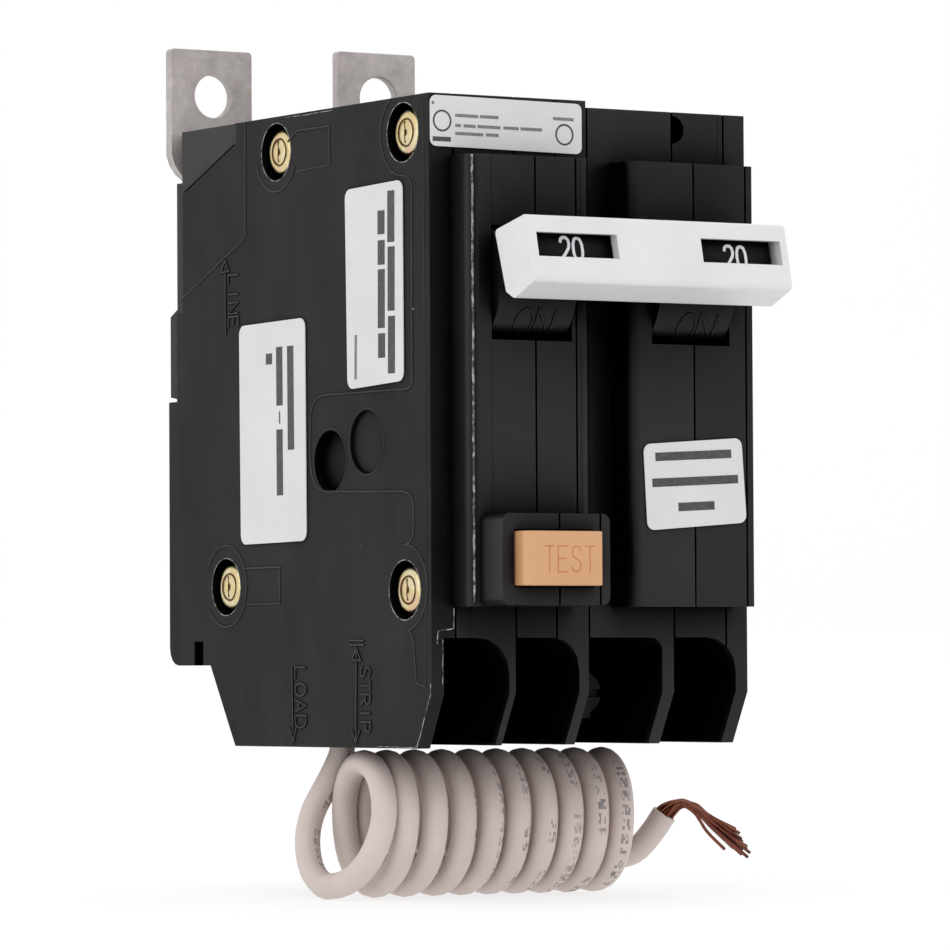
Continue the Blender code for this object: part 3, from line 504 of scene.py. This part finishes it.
# Single-line letters in a box one unit wide and one high
STROKES = {
    "T": [[(0, 1), (1, 1)], [(0.5, 1), (0.5, 0)]],
    "E": [[(0.95, 1), (0, 1), (0, 0), (0.95, 0)], [(0, 0.52), (0.75, 0.52)]],
    "L": [[(0, 1), (0, 0), (0.9, 0)]],
    "I": [[(0.5, 1), (0.5, 0)]],
    "N": [[(0, 0), (0, 1), (1, 0), (1, 1)]],
    "A": [[(0, 0), (0.5, 1), (1, 0)], [(0.2, 0.36), (0.8, 0.36)]],
    "D": [[(0, 0), (0, 1), (0.55, 1), (0.85, 0.85), (1, 0.5), (0.85, 0.15), (0.55, 0), (0, 0)]],
    "P": [[(0, 0), (0, 1), (0.7, 1), (0.95, 0.88), (0.95, 0.62), (0.7, 0.5), (0, 0.5)]],
    "R": [[(0, 0), (0, 1), (0.7, 1), (0.95, 0.88), (0.95, 0.62), (0.7, 0.5), (0, 0.5)], [(0.5, 0.5), (1, 0)]],
    "O": [arc((0.5, 0.5), 0.5, 90, 450, 20)],
    "S": [[(0.95, 0.82), (0.78, 0.96), (0.5, 1), (0.2, 0.95), (0.05, 0.76), (0.18, 0.58), (0.5, 0.5),
           (0.82, 0.42), (0.96, 0.24), (0.8, 0.05), (0.5, 0), (0.2, 0.04), (0.03, 0.2)]],
    "2": [[(0.04, 0.76), (0.14, 0.93), (0.36, 1.0), (0.66, 1.0), (0.88, 0.9), (0.95, 0.72), (0.86, 0.54),
           (0.5, 0.3), (0.14, 0.1), (0.03, 0.0), (1.0, 0.0)]],
    "0": [[(0.5, 1.0), (0.8, 0.93), (0.95, 0.72), (0.98, 0.5), (0.95, 0.28), (0.8, 0.07), (0.5, 0.0),
           (0.2, 0.07), (0.05, 0.28), (0.02, 0.5), (0.05, 0.72), (0.2, 0.93), (0.5, 1.0)]],
}


def lettering(shape, text, start, across, up, size, pitch, stroke, high, place, low=-0.05, taper=0.25):
    """Letters from a start corner: across and up are flat unit directions, size is width and height."""
    origin, across, up = Vector(start), Vector(across), Vector(up)
    for index, letter in enumerate(text):
        for line in STROKES[letter]:
            points = [origin + across * (index * pitch + a * size[0]) + up * b * size[1] for a, b in line]
            ribbon(shape, points, stroke, high, place, low, taper=taper)


def plate(shape, outline, place, low, high):
    """A flat solid with the outline, from low to high above its face."""
    bottom = [shape.verts.new(place(a, b, low)) for a, b in outline]
    top = [shape.verts.new(place(a, b, high)) for a, b in outline]
    shape.faces.new(bottom)
    shape.faces.new(top)
    count = len(outline)
    for k in range(count):
        shape.faces.new((bottom[k], bottom[(k + 1) % count], top[(k + 1) % count], top[k]))


def bar(shape, start, run, length, width, place, low, high):
    """A straight bar from a start point."""
    run = Vector(run).normalized()
    side = Vector((-run.y, run.x)) * width / 2
    a = Vector(start)
    b = a + run * length
    plate(shape, [a - side, b - side, b + side, a + side], place, low, high)


def round_edges(item, width):
    """Rounds the sharp edges of a CAD node, and smooths it."""
    weld = item.modifiers.new("weld", "WELD")
    weld.merge_threshold = 0.000002
    flat = item.modifiers.new("flat", "DECIMATE")
    flat.decimate_type = "DISSOLVE"
    flat.angle_limit = math.radians(0.6)
    bevel = item.modifiers.new("bevel", "BEVEL")
    bevel.width = width * MM
    bevel.segments = 2
    bevel.limit_method = "ANGLE"
    bevel.angle_limit = math.radians(28)
    bevel.harden_normals = True
    bevel.use_clamp_overlap = True
    item.data.shade_smooth()
    normals = item.modifiers.new("normals", "WEIGHTED_NORMAL")
    normals.keep_sharp = True


def tube_mesh(shape, path, radius, sides, uv=None, mark=None):
    """A round tube along points in metres. uv names a layer of millimetres along and turns round; mark gives
    the direction, at a point and length, where the turns read a half."""
    layer = shape.loops.layers.uv.new(uv) if uv else None
    befores, afters = [path[0], *path[:-1]], [*path[1:], path[-1]]
    tangents = [(after - before).normalized() for before, after in zip(befores, afters)]
    normal = tangents[0].orthogonal().normalized()
    rings, lengths, offsets, travelled = [], [], [0.0], 0.0
    for index, point in enumerate(path):
        if index:
            travelled += (point - path[index - 1]).length / MM
            normal = (tangents[index - 1].rotation_difference(tangents[index]) @ normal).normalized()
        binormal = tangents[index].cross(normal)
        turns = [round_step(k, sides) for k in range(sides)]
        rings.append([shape.verts.new(point + (normal * c + binormal * s) * radius) for c, s in turns])
        lengths.append(travelled)
        if mark:
            toward = mark(point, travelled)
            offset = 0.5 - math.atan2(toward.dot(binormal), toward.dot(normal)) / (2 * math.pi)
            offsets.append(offset + round(offsets[-1] - offset))
    for index, (one, two) in enumerate(zip(rings, rings[1:])):
        for k in range(sides):
            n = (k + 1) % sides
            face = shape.faces.new((one[k], one[n], two[n], two[k]))
            if layer:
                for loop, (step, turn) in zip(face.loops, ((0, k), (0, k + 1), (1, k + 1), (1, k))):
                    around = turn / sides + (offsets[index + step + 1] if mark else 0.0)
                    loop[layer].uv = (lengths[index + step], around)
    shape.faces.new(rings[0])
    shape.faces.new(rings[-1])


def catmull(a, b, c, d, t):
    """Catmull-Rom value a share t of the way from b to c."""
    square, cube = 2 * a - 5 * b + 4 * c - d, 3 * b - a - 3 * c + d
    return 0.5 * (2 * b + (c - a) * t + square * t * t + cube * t ** 3)


def smooth_path(points, per_span):
    """A Catmull-Rom line through points."""
    points = [Vector(p) for p in points]
    padded = [points[0] * 2 - points[1], *points, points[-1] * 2 - points[-2]]
    line = []
    for index in range(len(points) - 1):
        line += [catmull(*padded[index:index + 4], step / per_span) for step in range(per_span)]
    line.append(points[-1])
    return line


# ---------------------------------------------------------------- neutral lead

WIRE_R = 1.75
COIL_Y, COIL_Z, COIL_R = 24.0, -10.7, 8.3
CORD_EXIT = (6.4, 33.6, 0.0)
LEAD_LENGTH, TURN_LENGTH = 26.0, 52.3
LEAD = [
    (6.4, 33.6, 1.5), CORD_EXIT, (6.2, 33.8, -1.6), (5.3, 34.3, -3.9), (3.9, 34.6, -6.4), (2.3, 34.5, -8.9),
    (1.0, 33.8, -11.6), (0.1, 32.5, -14.2), (-0.6, 30.3, -16.8), (-1.0, 27.4, -18.5),
]
# Where the wire is along the width at each quarter of a turn, from the first bottom: bottom, front, top, rear
QUARTERS = [
    -1.2, 1.9, 4.0, 5.9, 5.5, 5.6, 7.6, 9.5, 10.2, 10.2, 12.0, 13.9, 15.0, 14.8, 16.4, 18.3, 19.3, 19.2,
    20.8, 22.6, 23.7, 23.5, 25.2, 26.9, 28.0, 27.9, 29.5, 31.2, 32.3, 32.1, 33.7, 35.5, 36.6, 36.3, 38.0,
    39.9, 41.0, 40.4, 42.6, 45.4,
]
KNOTS_PER_QUARTER, STEPS_PER_KNOT = 2, 4
TAIL_END = (53.2, 24.0, -10.1)
TAIL = [(46.5, 31.6, -13.9), (48.3, 29.7, -15.9), (50.3, 27.6, -15.5), (51.9, 25.6, -13.0), TAIL_END]
# Bare strands: their size, the bunch they leave in, the points they pass, and where each one ends
STRAND_R, BUNCH_R, BUNCH_TURN = 0.235, 1.28, 2.4
STRAND_ARCH, STRAND_SHOULDER, STRAND_MIDDLE = (54.9, 23.3, -8.75), (57.4, 23.2, -9.0), (61.2, 23.4, -11.5)
STRAND_TIPS = [
    (67.0, 23.8, -15.0), (67.2, 23.3, -15.9), (66.6, 23.0, -16.5), (66.4, 24.1, -15.5), (65.9, 23.5, -16.1),
    (65.2, 24.0, -12.5), (65.4, 23.3, -13.1), (66.0, 23.7, -13.9), (66.6, 24.3, -14.3), (65.6, 22.9, -14.9),
    (64.9, 23.2, -14.2), (65.1, 24.4, -15.2), (62.9, 23.4, -15.3), (66.8, 23.6, -15.2), (65.8, 24.2, -14.7),
    (66.3, 22.8, -15.3), (64.4, 23.7, -13.3),
]
SAGGING_STRAND, SAG = 12, 0.9


def spline_at(values, index, share):
    """Catmull-Rom value between two entries of a list."""
    last = len(values) - 1
    near = [values[min(max(index + k, 0), last)] for k in (-1, 0, 1, 2)]
    return catmull(*near, share)


def cord_route():
    """Out of the case, down and round to the left, ten turns along the width, and up into the tail."""
    points = [Vector(p) for p in LEAD]
    knots = (len(QUARTERS) - 1) * KNOTS_PER_QUARTER
    for knot in range(knots + 1):
        quarter, half = divmod(knot, KNOTS_PER_QUARTER)
        angle = math.radians(knot * 90 / KNOTS_PER_QUARTER)
        x = spline_at(QUARTERS, quarter, half / KNOTS_PER_QUARTER)
        points.append(Vector((x, COIL_Y - COIL_R * math.sin(angle), COIL_Z - COIL_R * math.cos(angle))))
    points += [Vector(p) for p in TAIL]
    line = []
    for index, point in enumerate(smooth_path(points, STEPS_PER_KNOT)):
        if len(LEAD) <= index / STEPS_PER_KNOT <= len(LEAD) + knots:
            offset = Vector((0, point.y - COIL_Y, point.z - COIL_Z))
            offset.length = COIL_R
            point = Vector((point.x, COIL_Y + offset.y, COIL_Z + offset.z))
        line.append(at(*point))
    return line


def strand_bundle(heading):
    """Bare strands: a tight bunch that leaves the insulation, arches over and fans out downwards."""
    shape = bmesh.new()
    chance = random.Random(7)
    side = heading.orthogonal().normalized()
    other = heading.cross(side)
    for index, tip in enumerate(STRAND_TIPS):
        tip = Vector(tip)
        turn = BUNCH_TURN * index
        reach = BUNCH_R * math.sqrt((index + 0.5) / len(STRAND_TIPS))
        spot = side * math.cos(turn) * reach + other * math.sin(turn) * reach
        start = Vector(TAIL_END) + spot
        wander = [Vector([chance.uniform(-0.22, 0.22) for _ in range(3)]) for _ in range(3)]
        sag = Vector((0, 0, SAG if index == SAGGING_STRAND else 0))
        arch = Vector(STRAND_ARCH) + spot * 0.62 + wander[0] * 0.5
        shoulder = Vector(STRAND_SHOULDER) + spot * 0.60 + wander[1] - sag
        toward_tip = (tip + Vector((-5.2, 0, 2.9))) * 0.45
        middle = Vector(STRAND_MIDDLE) * 0.55 + toward_tip + spot * 0.25 + wander[2] - sag
        points = [start - heading * 0.6, start + heading * 0.5, arch, shoulder, middle, tip]
        tube_mesh(shape, [at(*p) for p in smooth_path(points, 7)], STRAND_R * MM, sides=8)
    item = piece("bare_strands", shape, "strand_copper", smooth=True)
    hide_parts("pigtail_strands")
    return item


def print_direction(point, travelled):
    """Where the wire's print faces: towards the right in the first turn, creeping round to the front."""
    turn = (travelled - LEAD_LENGTH) / TURN_LENGTH
    creep = math.radians(175 * math.exp(-turn / 4) - 25)
    out = point - at(0, COIL_Y, COIL_Z)
    out.x = 0
    return out.normalized() * math.cos(creep) + Vector((math.sin(creep), 0, 0))


def make_cord():
    """The wound lead as one tube, with its bare strands."""
    route = cord_route()
    heading = (route[-1] - route[-2]).normalized()
    strands = strand_bundle(heading)
    shape = bmesh.new()
    tube_mesh(shape, route, WIRE_R * MM, sides=24, uv="wire", mark=print_direction)
    item = piece("neutral_lead", shape, "wire_ivory", smooth=True)
    edges = item.modifiers.new("cut_end", "BEVEL")
    edges.width = 0.18 * MM
    edges.segments = 2
    edges.limit_method = "ANGLE"
    edges.angle_limit = math.radians(60)
    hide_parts("pigtail_lead", "pigtail_coil", "pigtail_tail")


# ---------------------------------------------------------------- case

BEVELS = {
    "case_black": 0.22, "case_brown_black": 0.22, "tie_white": 0.35, "button_orange": 0.2,
    "label_white": 0.03, "tin_plate": 0.2, "steel": 0.12, "copper": 0.12,
}
OTHER_BEVEL = 0.08
# Nodes whose finish isn't their record slot's: the side with its satin grain, and the metal in the pockets,
# in steel darkened as painted shade
FINISH_OF_NODE = {"left_cover": "case_side"}
FINISH_OF_NODE.update({
    f"{pole}_load_{part}": "shaded_steel"
    for pole in ("left", "neutral", "right") for part in ("terminal", "clamp", "screw")
})


def finish_nodes():
    """Every CAD node gets its finish and softened edges."""
    slots = {s["node"]: s["material_slot"] for s in frame["record"]["subparts"]}
    for name, item in NODES.items():
        item.data.materials.clear()
        item.data.materials.append(finish_of(FINISH_OF_NODE.get(name, slots[name])))
        round_edges(item, BEVELS.get(slots[name], OTHER_BEVEL))


RIVETS = ((6.65, 81.9), (6.65, 20.8), (40.1, 81.8), (54.4, 21.9))
KNOCKOUTS = (((25.9, 38.6), 4.42), ((16.3, 40.9), 4.5))
RECESS_R = 4.02


def side_lines():
    """Raised outlines on the left side: the front panel's border, the rivets' rings and the rear corner."""
    shape = bmesh.new()

    def line(points, closed=False, wide=0.34, tall=0.09):
        ribbon(shape, points, wide, tall, left_side, closed=closed, taper=0.5)

    ring_front_top = arc((6.65, 81.9), 5.6, 57, -42, 16)
    ring_front_low = arc((6.65, 21.1), 5.75, 84, 262, 24)
    border = [
        (9.6, 76.9), (7.9, 76.25), (5.6, 75.95), (4.75, 75.4), (4.35, 74.4), (4.45, 48.4), (4.9, 47.85),
        (5.7, 47.6), (27.6, 47.65), (29.2, 47.3), (30.3, 46.5), (31.0, 45.2), (31.1, 43.0), (31.15, 39.0),
        (30.7, 36.8), (29.5, 35.2), (27.6, 34.5), (24.2, 34.4), (6.9, 33.95), (5.5, 33.6), (4.65, 33.0),
        (4.3, 32.0), (4.3, 28.4), (4.7, 27.6), (5.6, 27.0),
    ]
    foot = [(5.3, 15.2), (4.7, 14.6), (4.45, 13.6), (3.7, 8.4), (1.3, 7.9)]
    line(ring_front_top + border + ring_front_low + foot)
    line(arc((40.1, 81.8), 5.5, -12, -155, 20))
    line([(36.9, 83.0), (34.4, 84.3), (25.8, 84.3), (25.6, 79.0)])
    line([(25.6, 79.0), (34.6, 78.7)], wide=0.25, tall=0.05)
    line([(48.55, 86.5), (48.6, 70.9), (49.3, 70.1), (54.9, 67.85), (67.6, 62.5)])
    line(arc((54.4, 22.0), 5.7, 28, 325, 36))
    line([(48.9, 24.4), (39.6, 24.45), (39.55, 19.4), (48.7, 19.4)])
    line([(1.4, 85.9), (1.35, 60.0), (1.3, 34.0), (1.45, 8.2)], wide=0.22, tall=0.05)
    for centre, radius in KNOCKOUTS:
        line(ring(centre, radius), closed=True, wide=0.2, tall=0.05)
    piece("side_raised_lines", shape, "case_line")


def side_rims():
    """The pale rims of the rivets' recesses, and the groove at the rear corner."""
    shape = bmesh.new()
    for centre in RIVETS:
        ribbon(shape, ring(centre, RECESS_R), 0.13, 0.03, left_side, closed=True)
    piece("rivet_recess_rims", shape, "flash")
    shape = bmesh.new()
    ribbon(shape, [(51.28, 86.5), (51.3, 83.7)], 0.3, 0.02, left_side)
    piece("cover_corner_groove", shape, "gloss_black")


def side_lettering():
    """Raised LINE, LOAD and STRIP, reading downwards, with their arrows."""
    shape = bmesh.new()
    stroke, tall = 0.3, 0.13
    for text, start, size, pitch in (
        ("LINE", (53.4, 65.5), (1.5, 2.8), 1.95),
        ("LOAD", (35.4, 10.6), (1.7, 2.9), 2.2),
        ("STRIP", (18.0, 10.6), (1.35, 2.5), 1.85),
    ):
        lettering(shape, text, start, (0, -1), (-1, 0), size, pitch, stroke, tall, left_side)
    for points in (
        [(54.15, 57.3), (54.2, 66.9)], [(55.4, 66.0), (54.2, 67.6), (53.2, 66.1), (55.4, 66.0)],
        [(36.2, 10.7), (36.0, 1.6)], [(36.9, 2.3), (35.9, 0.5), (35.1, 2.4)],
        [(19.1, 13.1), (19.3, 0.6)], [(20.2, 11.5), (19.1, 13.2), (18.0, 11.5), (20.2, 11.5)],
        [(20.4, 2.1), (19.3, 0.4), (18.3, 2.1)], [(21.0, 13.6), (17.1, 13.55)], [(21.0, 14.2), (17.1, 14.15)],
    ):
        ribbon(shape, points, stroke, tall, left_side)
    piece("side_lettering", shape, "gloss_black")


def ragged(shape, chance, points, place, width):
    """A thin strip whose line wanders a little."""
    line = [Vector(p) for p in points]
    fine = []
    for a, b in zip(line, line[1:]):
        steps = max(2, int((b - a).length / 0.8))
        fine += [a + (b - a) * k / steps for k in range(steps)]
    fine.append(line[-1])
    fine = [p + Vector((chance.uniform(-0.05, 0.05), chance.uniform(-0.05, 0.05))) for p in fine]
    ribbon(shape, fine, width, 0.05, place, low=-0.25)


def seam_marks():
    """Pale ragged flash along the seams of the left pole, and hairline joints on the fronts."""
    shape = bmesh.new()
    tower, base = front_of(TOWER_FRONT), front_of(BASE_FRONT)
    chance = random.Random(3)
    for points, place, width in (
        ([(3.53, 78.2), (3.55, 45.7), (3.57, 19.0)], tower, 0.18),
        ([(3.55, 18.3), (3.45, 15.62), (1.0, 15.3), (0.9, 13.6)], base, 0.18),
        ([(1.75, 14.1), (1.72, 8.1)], base, 0.09),
        ([(14.0, -0.12), (3.7, -0.12), (0.25, 6.9), (0.2, 8.4)], left_side, 0.14),
        ([(37.8, 86.35), (31.0, 86.33), (25.0, 86.35)], left_side, 0.1),
        ([(4.6, 58.2), (3.9, 58.15)], left_side, 0.16),
    ):
        ragged(shape, chance, points, place, width)
    piece("seam_flash", shape, "flash")

    shape = bmesh.new()
    for x in (6.45, 20.6):
        for bottom, top in ((53.4, 30.9), (69.3, 78.0)):
            ribbon(shape, [(x, bottom), (x, top)], 0.12, 0.035, tower)
    ribbon(shape, [(6.1, 18.3), (6.1, 14.6)], 0.13, 0.04, base)
    ribbon(shape, [(47.5, 14.2), (50.6, 14.2)], 0.13, 0.04, base)
    ribbon(shape, [(46.5, 85.5), (46.4, 79.0)], 0.12, 0.04, base)
    piece("front_hairlines", shape, "gloss_black")


def lathe(shape, profile, place, steps=40):
    """A surface swept round a profile of radius and height; place takes two flat sizes and a height."""
    rings = []
    for radius, height in profile:
        if radius < 0.001:
            rings.append([shape.verts.new(place(0, 0, height))])
            continue
        turns = [round_step(k, steps) for k in range(steps)]
        rings.append([shape.verts.new(place(radius * c, radius * s, height)) for c, s in turns])
    for one, two in zip(rings, rings[1:]):
        for k in range(steps):
            n = (k + 1) % steps
            if len(one) == 1:
                shape.faces.new((one[0], two[n], two[k]))
            elif len(two) == 1:
                shape.faces.new((one[k], one[n], two[0]))
            else:
                shape.faces.new((one[k], one[n], two[n], two[k]))


# A rivet's head, as radius and height: a rolled rim, a groove, the ring pressed round the middle and a dip
RIVET_HEAD = [
    (0.0, -0.9), (2.98, -0.9), (3.05, -0.3), (3.0, 0.1), (2.82, 0.36), (2.5, 0.5), (2.1, 0.54), (1.92, 0.48),
    (1.84, 0.4), (1.74, 0.48), (1.4, 0.6), (0.95, 0.66), (0.5, 0.66), (0.36, 0.5), (0.28, 0.3), (0.0, 0.24),
]
# How deep the head and its dark marks lie below the side, and each rivet's own slight unevenness
HEAD_DEPTH, MARK_DEPTH, WAVE = 1.0, 0.36, 0.03
LEANS = (0.4, -0.3, 0.2, -0.5)


def rivet(number, y, z, lean):
    """A clenched hollow rivet with a split dark centre."""
    def on_head(a, b, up):
        wave = WAVE * math.sin(3 * math.atan2(b, a) + lean * 5) * math.hypot(a, b) / 2.8
        return at(HEAD_DEPTH - up - wave, y + a, z + b)

    def on_mark(a, b, up):
        return at(MARK_DEPTH - up, y + a, z + b)

    shape = bmesh.new()
    lathe(shape, RIVET_HEAD, on_head)
    piece(f"rivet_head_{number}", shape, "rivet_brass", smooth=True)
    shape = bmesh.new()
    ribbon(shape, [(0.1, 1.5), (-0.06, 0.6), (0.08, -0.3), (-0.08, -1.4)], 0.26, 0.05, on_mark, low=-0.3)
    ribbon(shape, ring((0, 0), 1.86), 0.1, -0.02, on_mark, low=-0.3, closed=True)
    piece(f"rivet_split_{number}", shape, "rivet_mark")


def rivets():
    """The four rivets' heads."""
    for index, ((y, z), lean) in enumerate(zip(RIVETS, LEANS)):
        rivet(index + 1, y, z, lean)


# ---------------------------------------------------------------- labels

# How far the labels and the print on them stand out from their face
LABEL_FACE, PRINT_FACE = 0.2, 0.245


def printed_bars(name, finish, place, run, width, bars):
    """A piece of parallel bars, each a start point and a length."""
    shape = bmesh.new()
    for a, b, length in bars:
        bar(shape, (a, b), run, length, width, place, LABEL_FACE, PRINT_FACE)
    piece(name, shape, finish)


def side_label_print():
    """Bars that read downwards on the two side labels."""
    shape = bmesh.new()
    for y, spans in (
        (9.35, ((74.3, 67.4), (66.8, 58.2), (57.5, 49.8))),
        (11.9, ((71.8, 68.6), (67.8, 64.5), (63.9, 56.0), (55.3, 52.0))),
    ):
        for top, bottom in spans:
            bar(shape, (y, top), (0.01, -1), top - bottom, 1.8, left_side, LABEL_FACE, PRINT_FACE)
    piece("front_side_label_bars", shape, "ink_black")
    printed_bars("front_side_label_small_bar", "ink_grey", left_side, (0.02, -1), 0.6, [(18.6, 55.4, 6.0)])
    shape = bmesh.new()
    for y, top, bottom in ((36.1, 54.8, 40.5), (39.1, 54.8, 46.7), (39.1, 43.4, 34.3), (41.9, 54.0, 52.5)):
        bar(shape, (y, top), (-0.008, -1), top - bottom, 1.7, left_side, LABEL_FACE, PRINT_FACE)
    bar(shape, (39.05, 45.9), (0, -1), 1.7, 0.3, left_side, LABEL_FACE, PRINT_FACE)
    piece("rear_side_label_bars", shape, "ink_black")


def front_label_print():
    """Bars and circles on the rating label, and bars on the tower's label."""
    face = front_of(BASE_FRONT)
    shape = bmesh.new()
    for centre in ((1.95, 83.0), (21.3, 81.95)):
        ribbon(shape, ring(centre, 1.33), 0.26, PRINT_FACE, face, low=LABEL_FACE, closed=True, taper=0)
    bar(shape, (0.45, 80.55), (1, 0), 2.85, 0.62, face, LABEL_FACE, PRINT_FACE)
    piece("rating_label_marks", shape, "ink_black")
    printed_bars("rating_label_bars", "ink_grey", face, (1, -0.006), 0.42, [
        (4.0, 83.8, 3.6), (7.9, 83.8, 2.9), (4.0, 82.45, 0.9), (5.3, 82.45, 1.9), (7.5, 82.45, 3.6),
        (11.6, 82.45, 2.4), (14.3, 82.45, 3.4), (4.0, 81.4, 4.4), (8.8, 81.4, 2.0), (19.5, 84.05, 3.3),
        (0.35, 85.35, 0.35),
    ])
    printed_bars("tower_label_bars", "ink_black", front_of(TOWER_FRONT), (1, 0.05), 1.15,
                 [(32.2, 38.6, 12.4), (31.7, 35.1, 14.0), (35.9, 31.9, 5.9)])


# ---------------------------------------------------------------- handles and button

HINGE_Y, HINGE_Z, BARREL_R = 2.8, 62.0, 10.0
# Degrees below level where the barrel's mark has its foot
MARK_FOOT = 47.5
NOSE_TOP = (-14.49, 69.39)
NOSE_OUT, NOSE_UP = (-0.976, 0.219), (0.219, 0.976)


def nose_face(a, b, up):
    """On the flat front of a handle's nose: a is x and b is height up the face from its top edge."""
    y, z = (top + along * b + out * up for top, along, out in zip(NOSE_TOP, NOSE_UP, NOSE_OUT))
    return at(a, y, z)


def barrel_face(a, b, up):
    """On a handle's barrel: a is x and b is height round it from the foot of its mark."""
    angle = math.radians(MARK_FOOT - b * math.degrees(1 / BARREL_R))
    reach = BARREL_R + up
    return at(a, HINGE_Y - reach * math.cos(angle), HINGE_Z - reach * math.sin(angle))


def on_mark(name, left):
    """ON in raised lines that follow the barrel, from its left edge."""
    shape = bmesh.new()
    for letter, start in (("O", left), ("N", left + 3.2)):
        for line in STROKES[letter]:
            points = [Vector((start + a * 2.7, b * 4.1)) for a, b in line]
            fine = []
            for a, b in zip(points, points[1:]):
                count = max(1, int((b - a).length / 0.5))
                fine += [a + (b - a) * k / count for k in range(count)]
            fine.append(points[-1])
            ribbon(shape, fine, 0.42, 0.1, barrel_face)
    piece(name, shape, "gloss_black", "handles")


def handle_marks():
    """White ratings on the noses, and ON on the barrels."""
    for side, x, foot, on_left in (("left", 10.65, -5.77, 10.0), ("right", 36.75, -6.05, 36.1)):
        shape = bmesh.new()
        lettering(shape, "20", (x, foot), (1, 0), (0, 1), (1.5, 3.15), 2.0, 0.5, 0.07, nose_face)
        piece(f"{side}_rating", shape, "mark_white", "handles")
        on_mark(f"{side}_on_mark", on_left)


def button_mark():
    """TEST on the button's face, in darker orange that paints the shade of engraved strokes."""
    shape = bmesh.new()
    face = front_of(BUTTON_FRONT)
    lettering(shape, "TEST", (9.3, 22.95), (1, 0), (0, 1), (1.55, 3.4), 2.12, 0.2, 0.03, face)
    piece("test_lettering", shape, "button_mark", "test_push")


# ---------------------------------------------------------------- springs inside

STEPS_PER_TURN = 16
# Shares of a spring's wire that lie flat at each end, and of its length that stay free there
DEAD_TURNS, END_GAP = 0.06, 0.03


def coil_spring(name, node, start, end, radius, wire, turns, body):
    """A wound spring in place of a plain sleeve."""
    start, end = Vector(start), Vector(end)
    run = end - start
    forward = run.normalized()
    side = forward.orthogonal().normalized()
    other = forward.cross(side)
    steps = turns * STEPS_PER_TURN
    line = []
    for k in range(steps + 1):
        c, s = round_step(k * turns, steps)
        share = min(max((k / steps - DEAD_TURNS) / (1 - 2 * DEAD_TURNS), 0.0), 1.0)
        centre = start + run * (share * (1 - 2 * END_GAP) + END_GAP)
        line.append(at(*(centre + (side * c + other * s) * radius)))
    shape = bmesh.new()
    tube_mesh(shape, line, wire * MM, sides=8)
    item = piece(name, shape, "steel", body, smooth=True)
    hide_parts(node)
    return item


def springs():
    """The main spring of each pole and the spring behind the test button, which gets a mesh of its own."""
    for side, shift in (("left", 0.0), ("right", 25.5)):
        x = 15.4 + shift
        coil_spring(f"{side}_main_spring_wound", f"{side}_main_spring", (x, 34.0, 53.0), (x, 48.0, 74.0),
                    1.38, 0.27, 14, f"{side}_arm")
    spring = coil_spring("test_spring_wound", "test_spring", (15.6, 1.8, 25.4), (15.6, 8.8, 25.4),
                         1.6, 0.25, 6, "case")
    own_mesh(spring)


# ---------------------------------------------------------------- surroundings

FLOOR_Z = -20.95
# The floor and wall in metres, as radius and height
FLOOR_PROFILE = [
    (0.0, 0.0), (0.5, 0.0), (1.6, 0.0), (2.0, 0.05), (2.35, 0.22), (2.6, 0.55), (2.7, 1.0), (2.7, 2.4),
]
FLOOR_GLOW, SKY = 0.69, 1.0
# Each lamp: its direction from the case, distance, width and height in metres, and watts
LAMPS = {
    "key": ((-0.75, -0.75, 0.75), 0.9, (0.45, 0.6), 0.9),
    "front": ((0.35, -1.0, 0.35), 1.0, (0.7, 0.5), 0.3),
    "side": ((-1.0, 0.15, 0.25), 0.9, (0.12, 0.8), 0.5),
    "rim": ((0.8, 0.7, 0.9), 1.1, (0.6, 0.6), 0.9),
}


def make_floor():
    """A pale floor that curves up into a round wall."""
    shape = bmesh.new()
    centre = at(WIDTH / 2, 30.0, FLOOR_Z)
    lathe(shape, FLOOR_PROFILE, lambda a, b, up: centre + Vector((a, b, up)), steps=72)
    mesh = bpy.data.meshes.new("floor")
    bmesh.ops.recalc_face_normals(shape, faces=shape.faces)
    shape.to_mesh(mesh)
    shape.free()
    mesh.shade_smooth()
    floor = bpy.data.objects.new("floor", mesh)
    bpy.context.scene.collection.objects.link(floor)
    made, tree, shader = new_material("floor_pale", Roughness=0.9, Specular_IOR_Level=0.1)
    cloud = fade(tree, noise(tree, 1.5, 3, 0.5), 0.3, 0.7)
    tree.links.new(mix(tree, cloud, (0.29, 0.29, 0.29), (0.31, 0.31, 0.31)), shader.inputs["Base Color"])
    shader.inputs["Emission Color"].default_value = (1, 1, 1, 1)
    shader.inputs["Emission Strength"].default_value = FLOOR_GLOW
    mesh.materials.append(made)


def make_light():
    """Soft studio light: a white sky and four large lamps."""
    world = bpy.data.worlds.new("studio")
    bpy.context.scene.world = world
    world.use_nodes = True
    world.node_tree.nodes["Background"].inputs["Color"].default_value = (1, 1, 1, 1)
    world.node_tree.nodes["Background"].inputs["Strength"].default_value = SKY
    centre = at(WIDTH / 2, 30.0, 35.0)
    for name, (direction, distance, size, power) in LAMPS.items():
        data = bpy.data.lights.new(name, "AREA")
        data.shape = "RECTANGLE"
        data.size, data.size_y = size
        data.energy = power
        lamp = bpy.data.objects.new(name, data)
        place = centre + Vector(direction).normalized() * distance
        aim = (centre - place).to_track_quat("-Z", "Y").to_matrix().to_4x4()
        lamp.matrix_world = Matrix.Translation(place) @ aim
        bpy.context.scene.collection.objects.link(lamp)
    settings = bpy.context.scene.view_settings
    settings.view_transform = "Standard"
    settings.look = "None"


make_camera()
make_cord()
finish_nodes()
side_lines()
side_rims()
side_lettering()
seam_marks()
rivets()
side_label_print()
front_label_print()
handle_marks()
button_mark()
springs()
make_floor()
make_light()
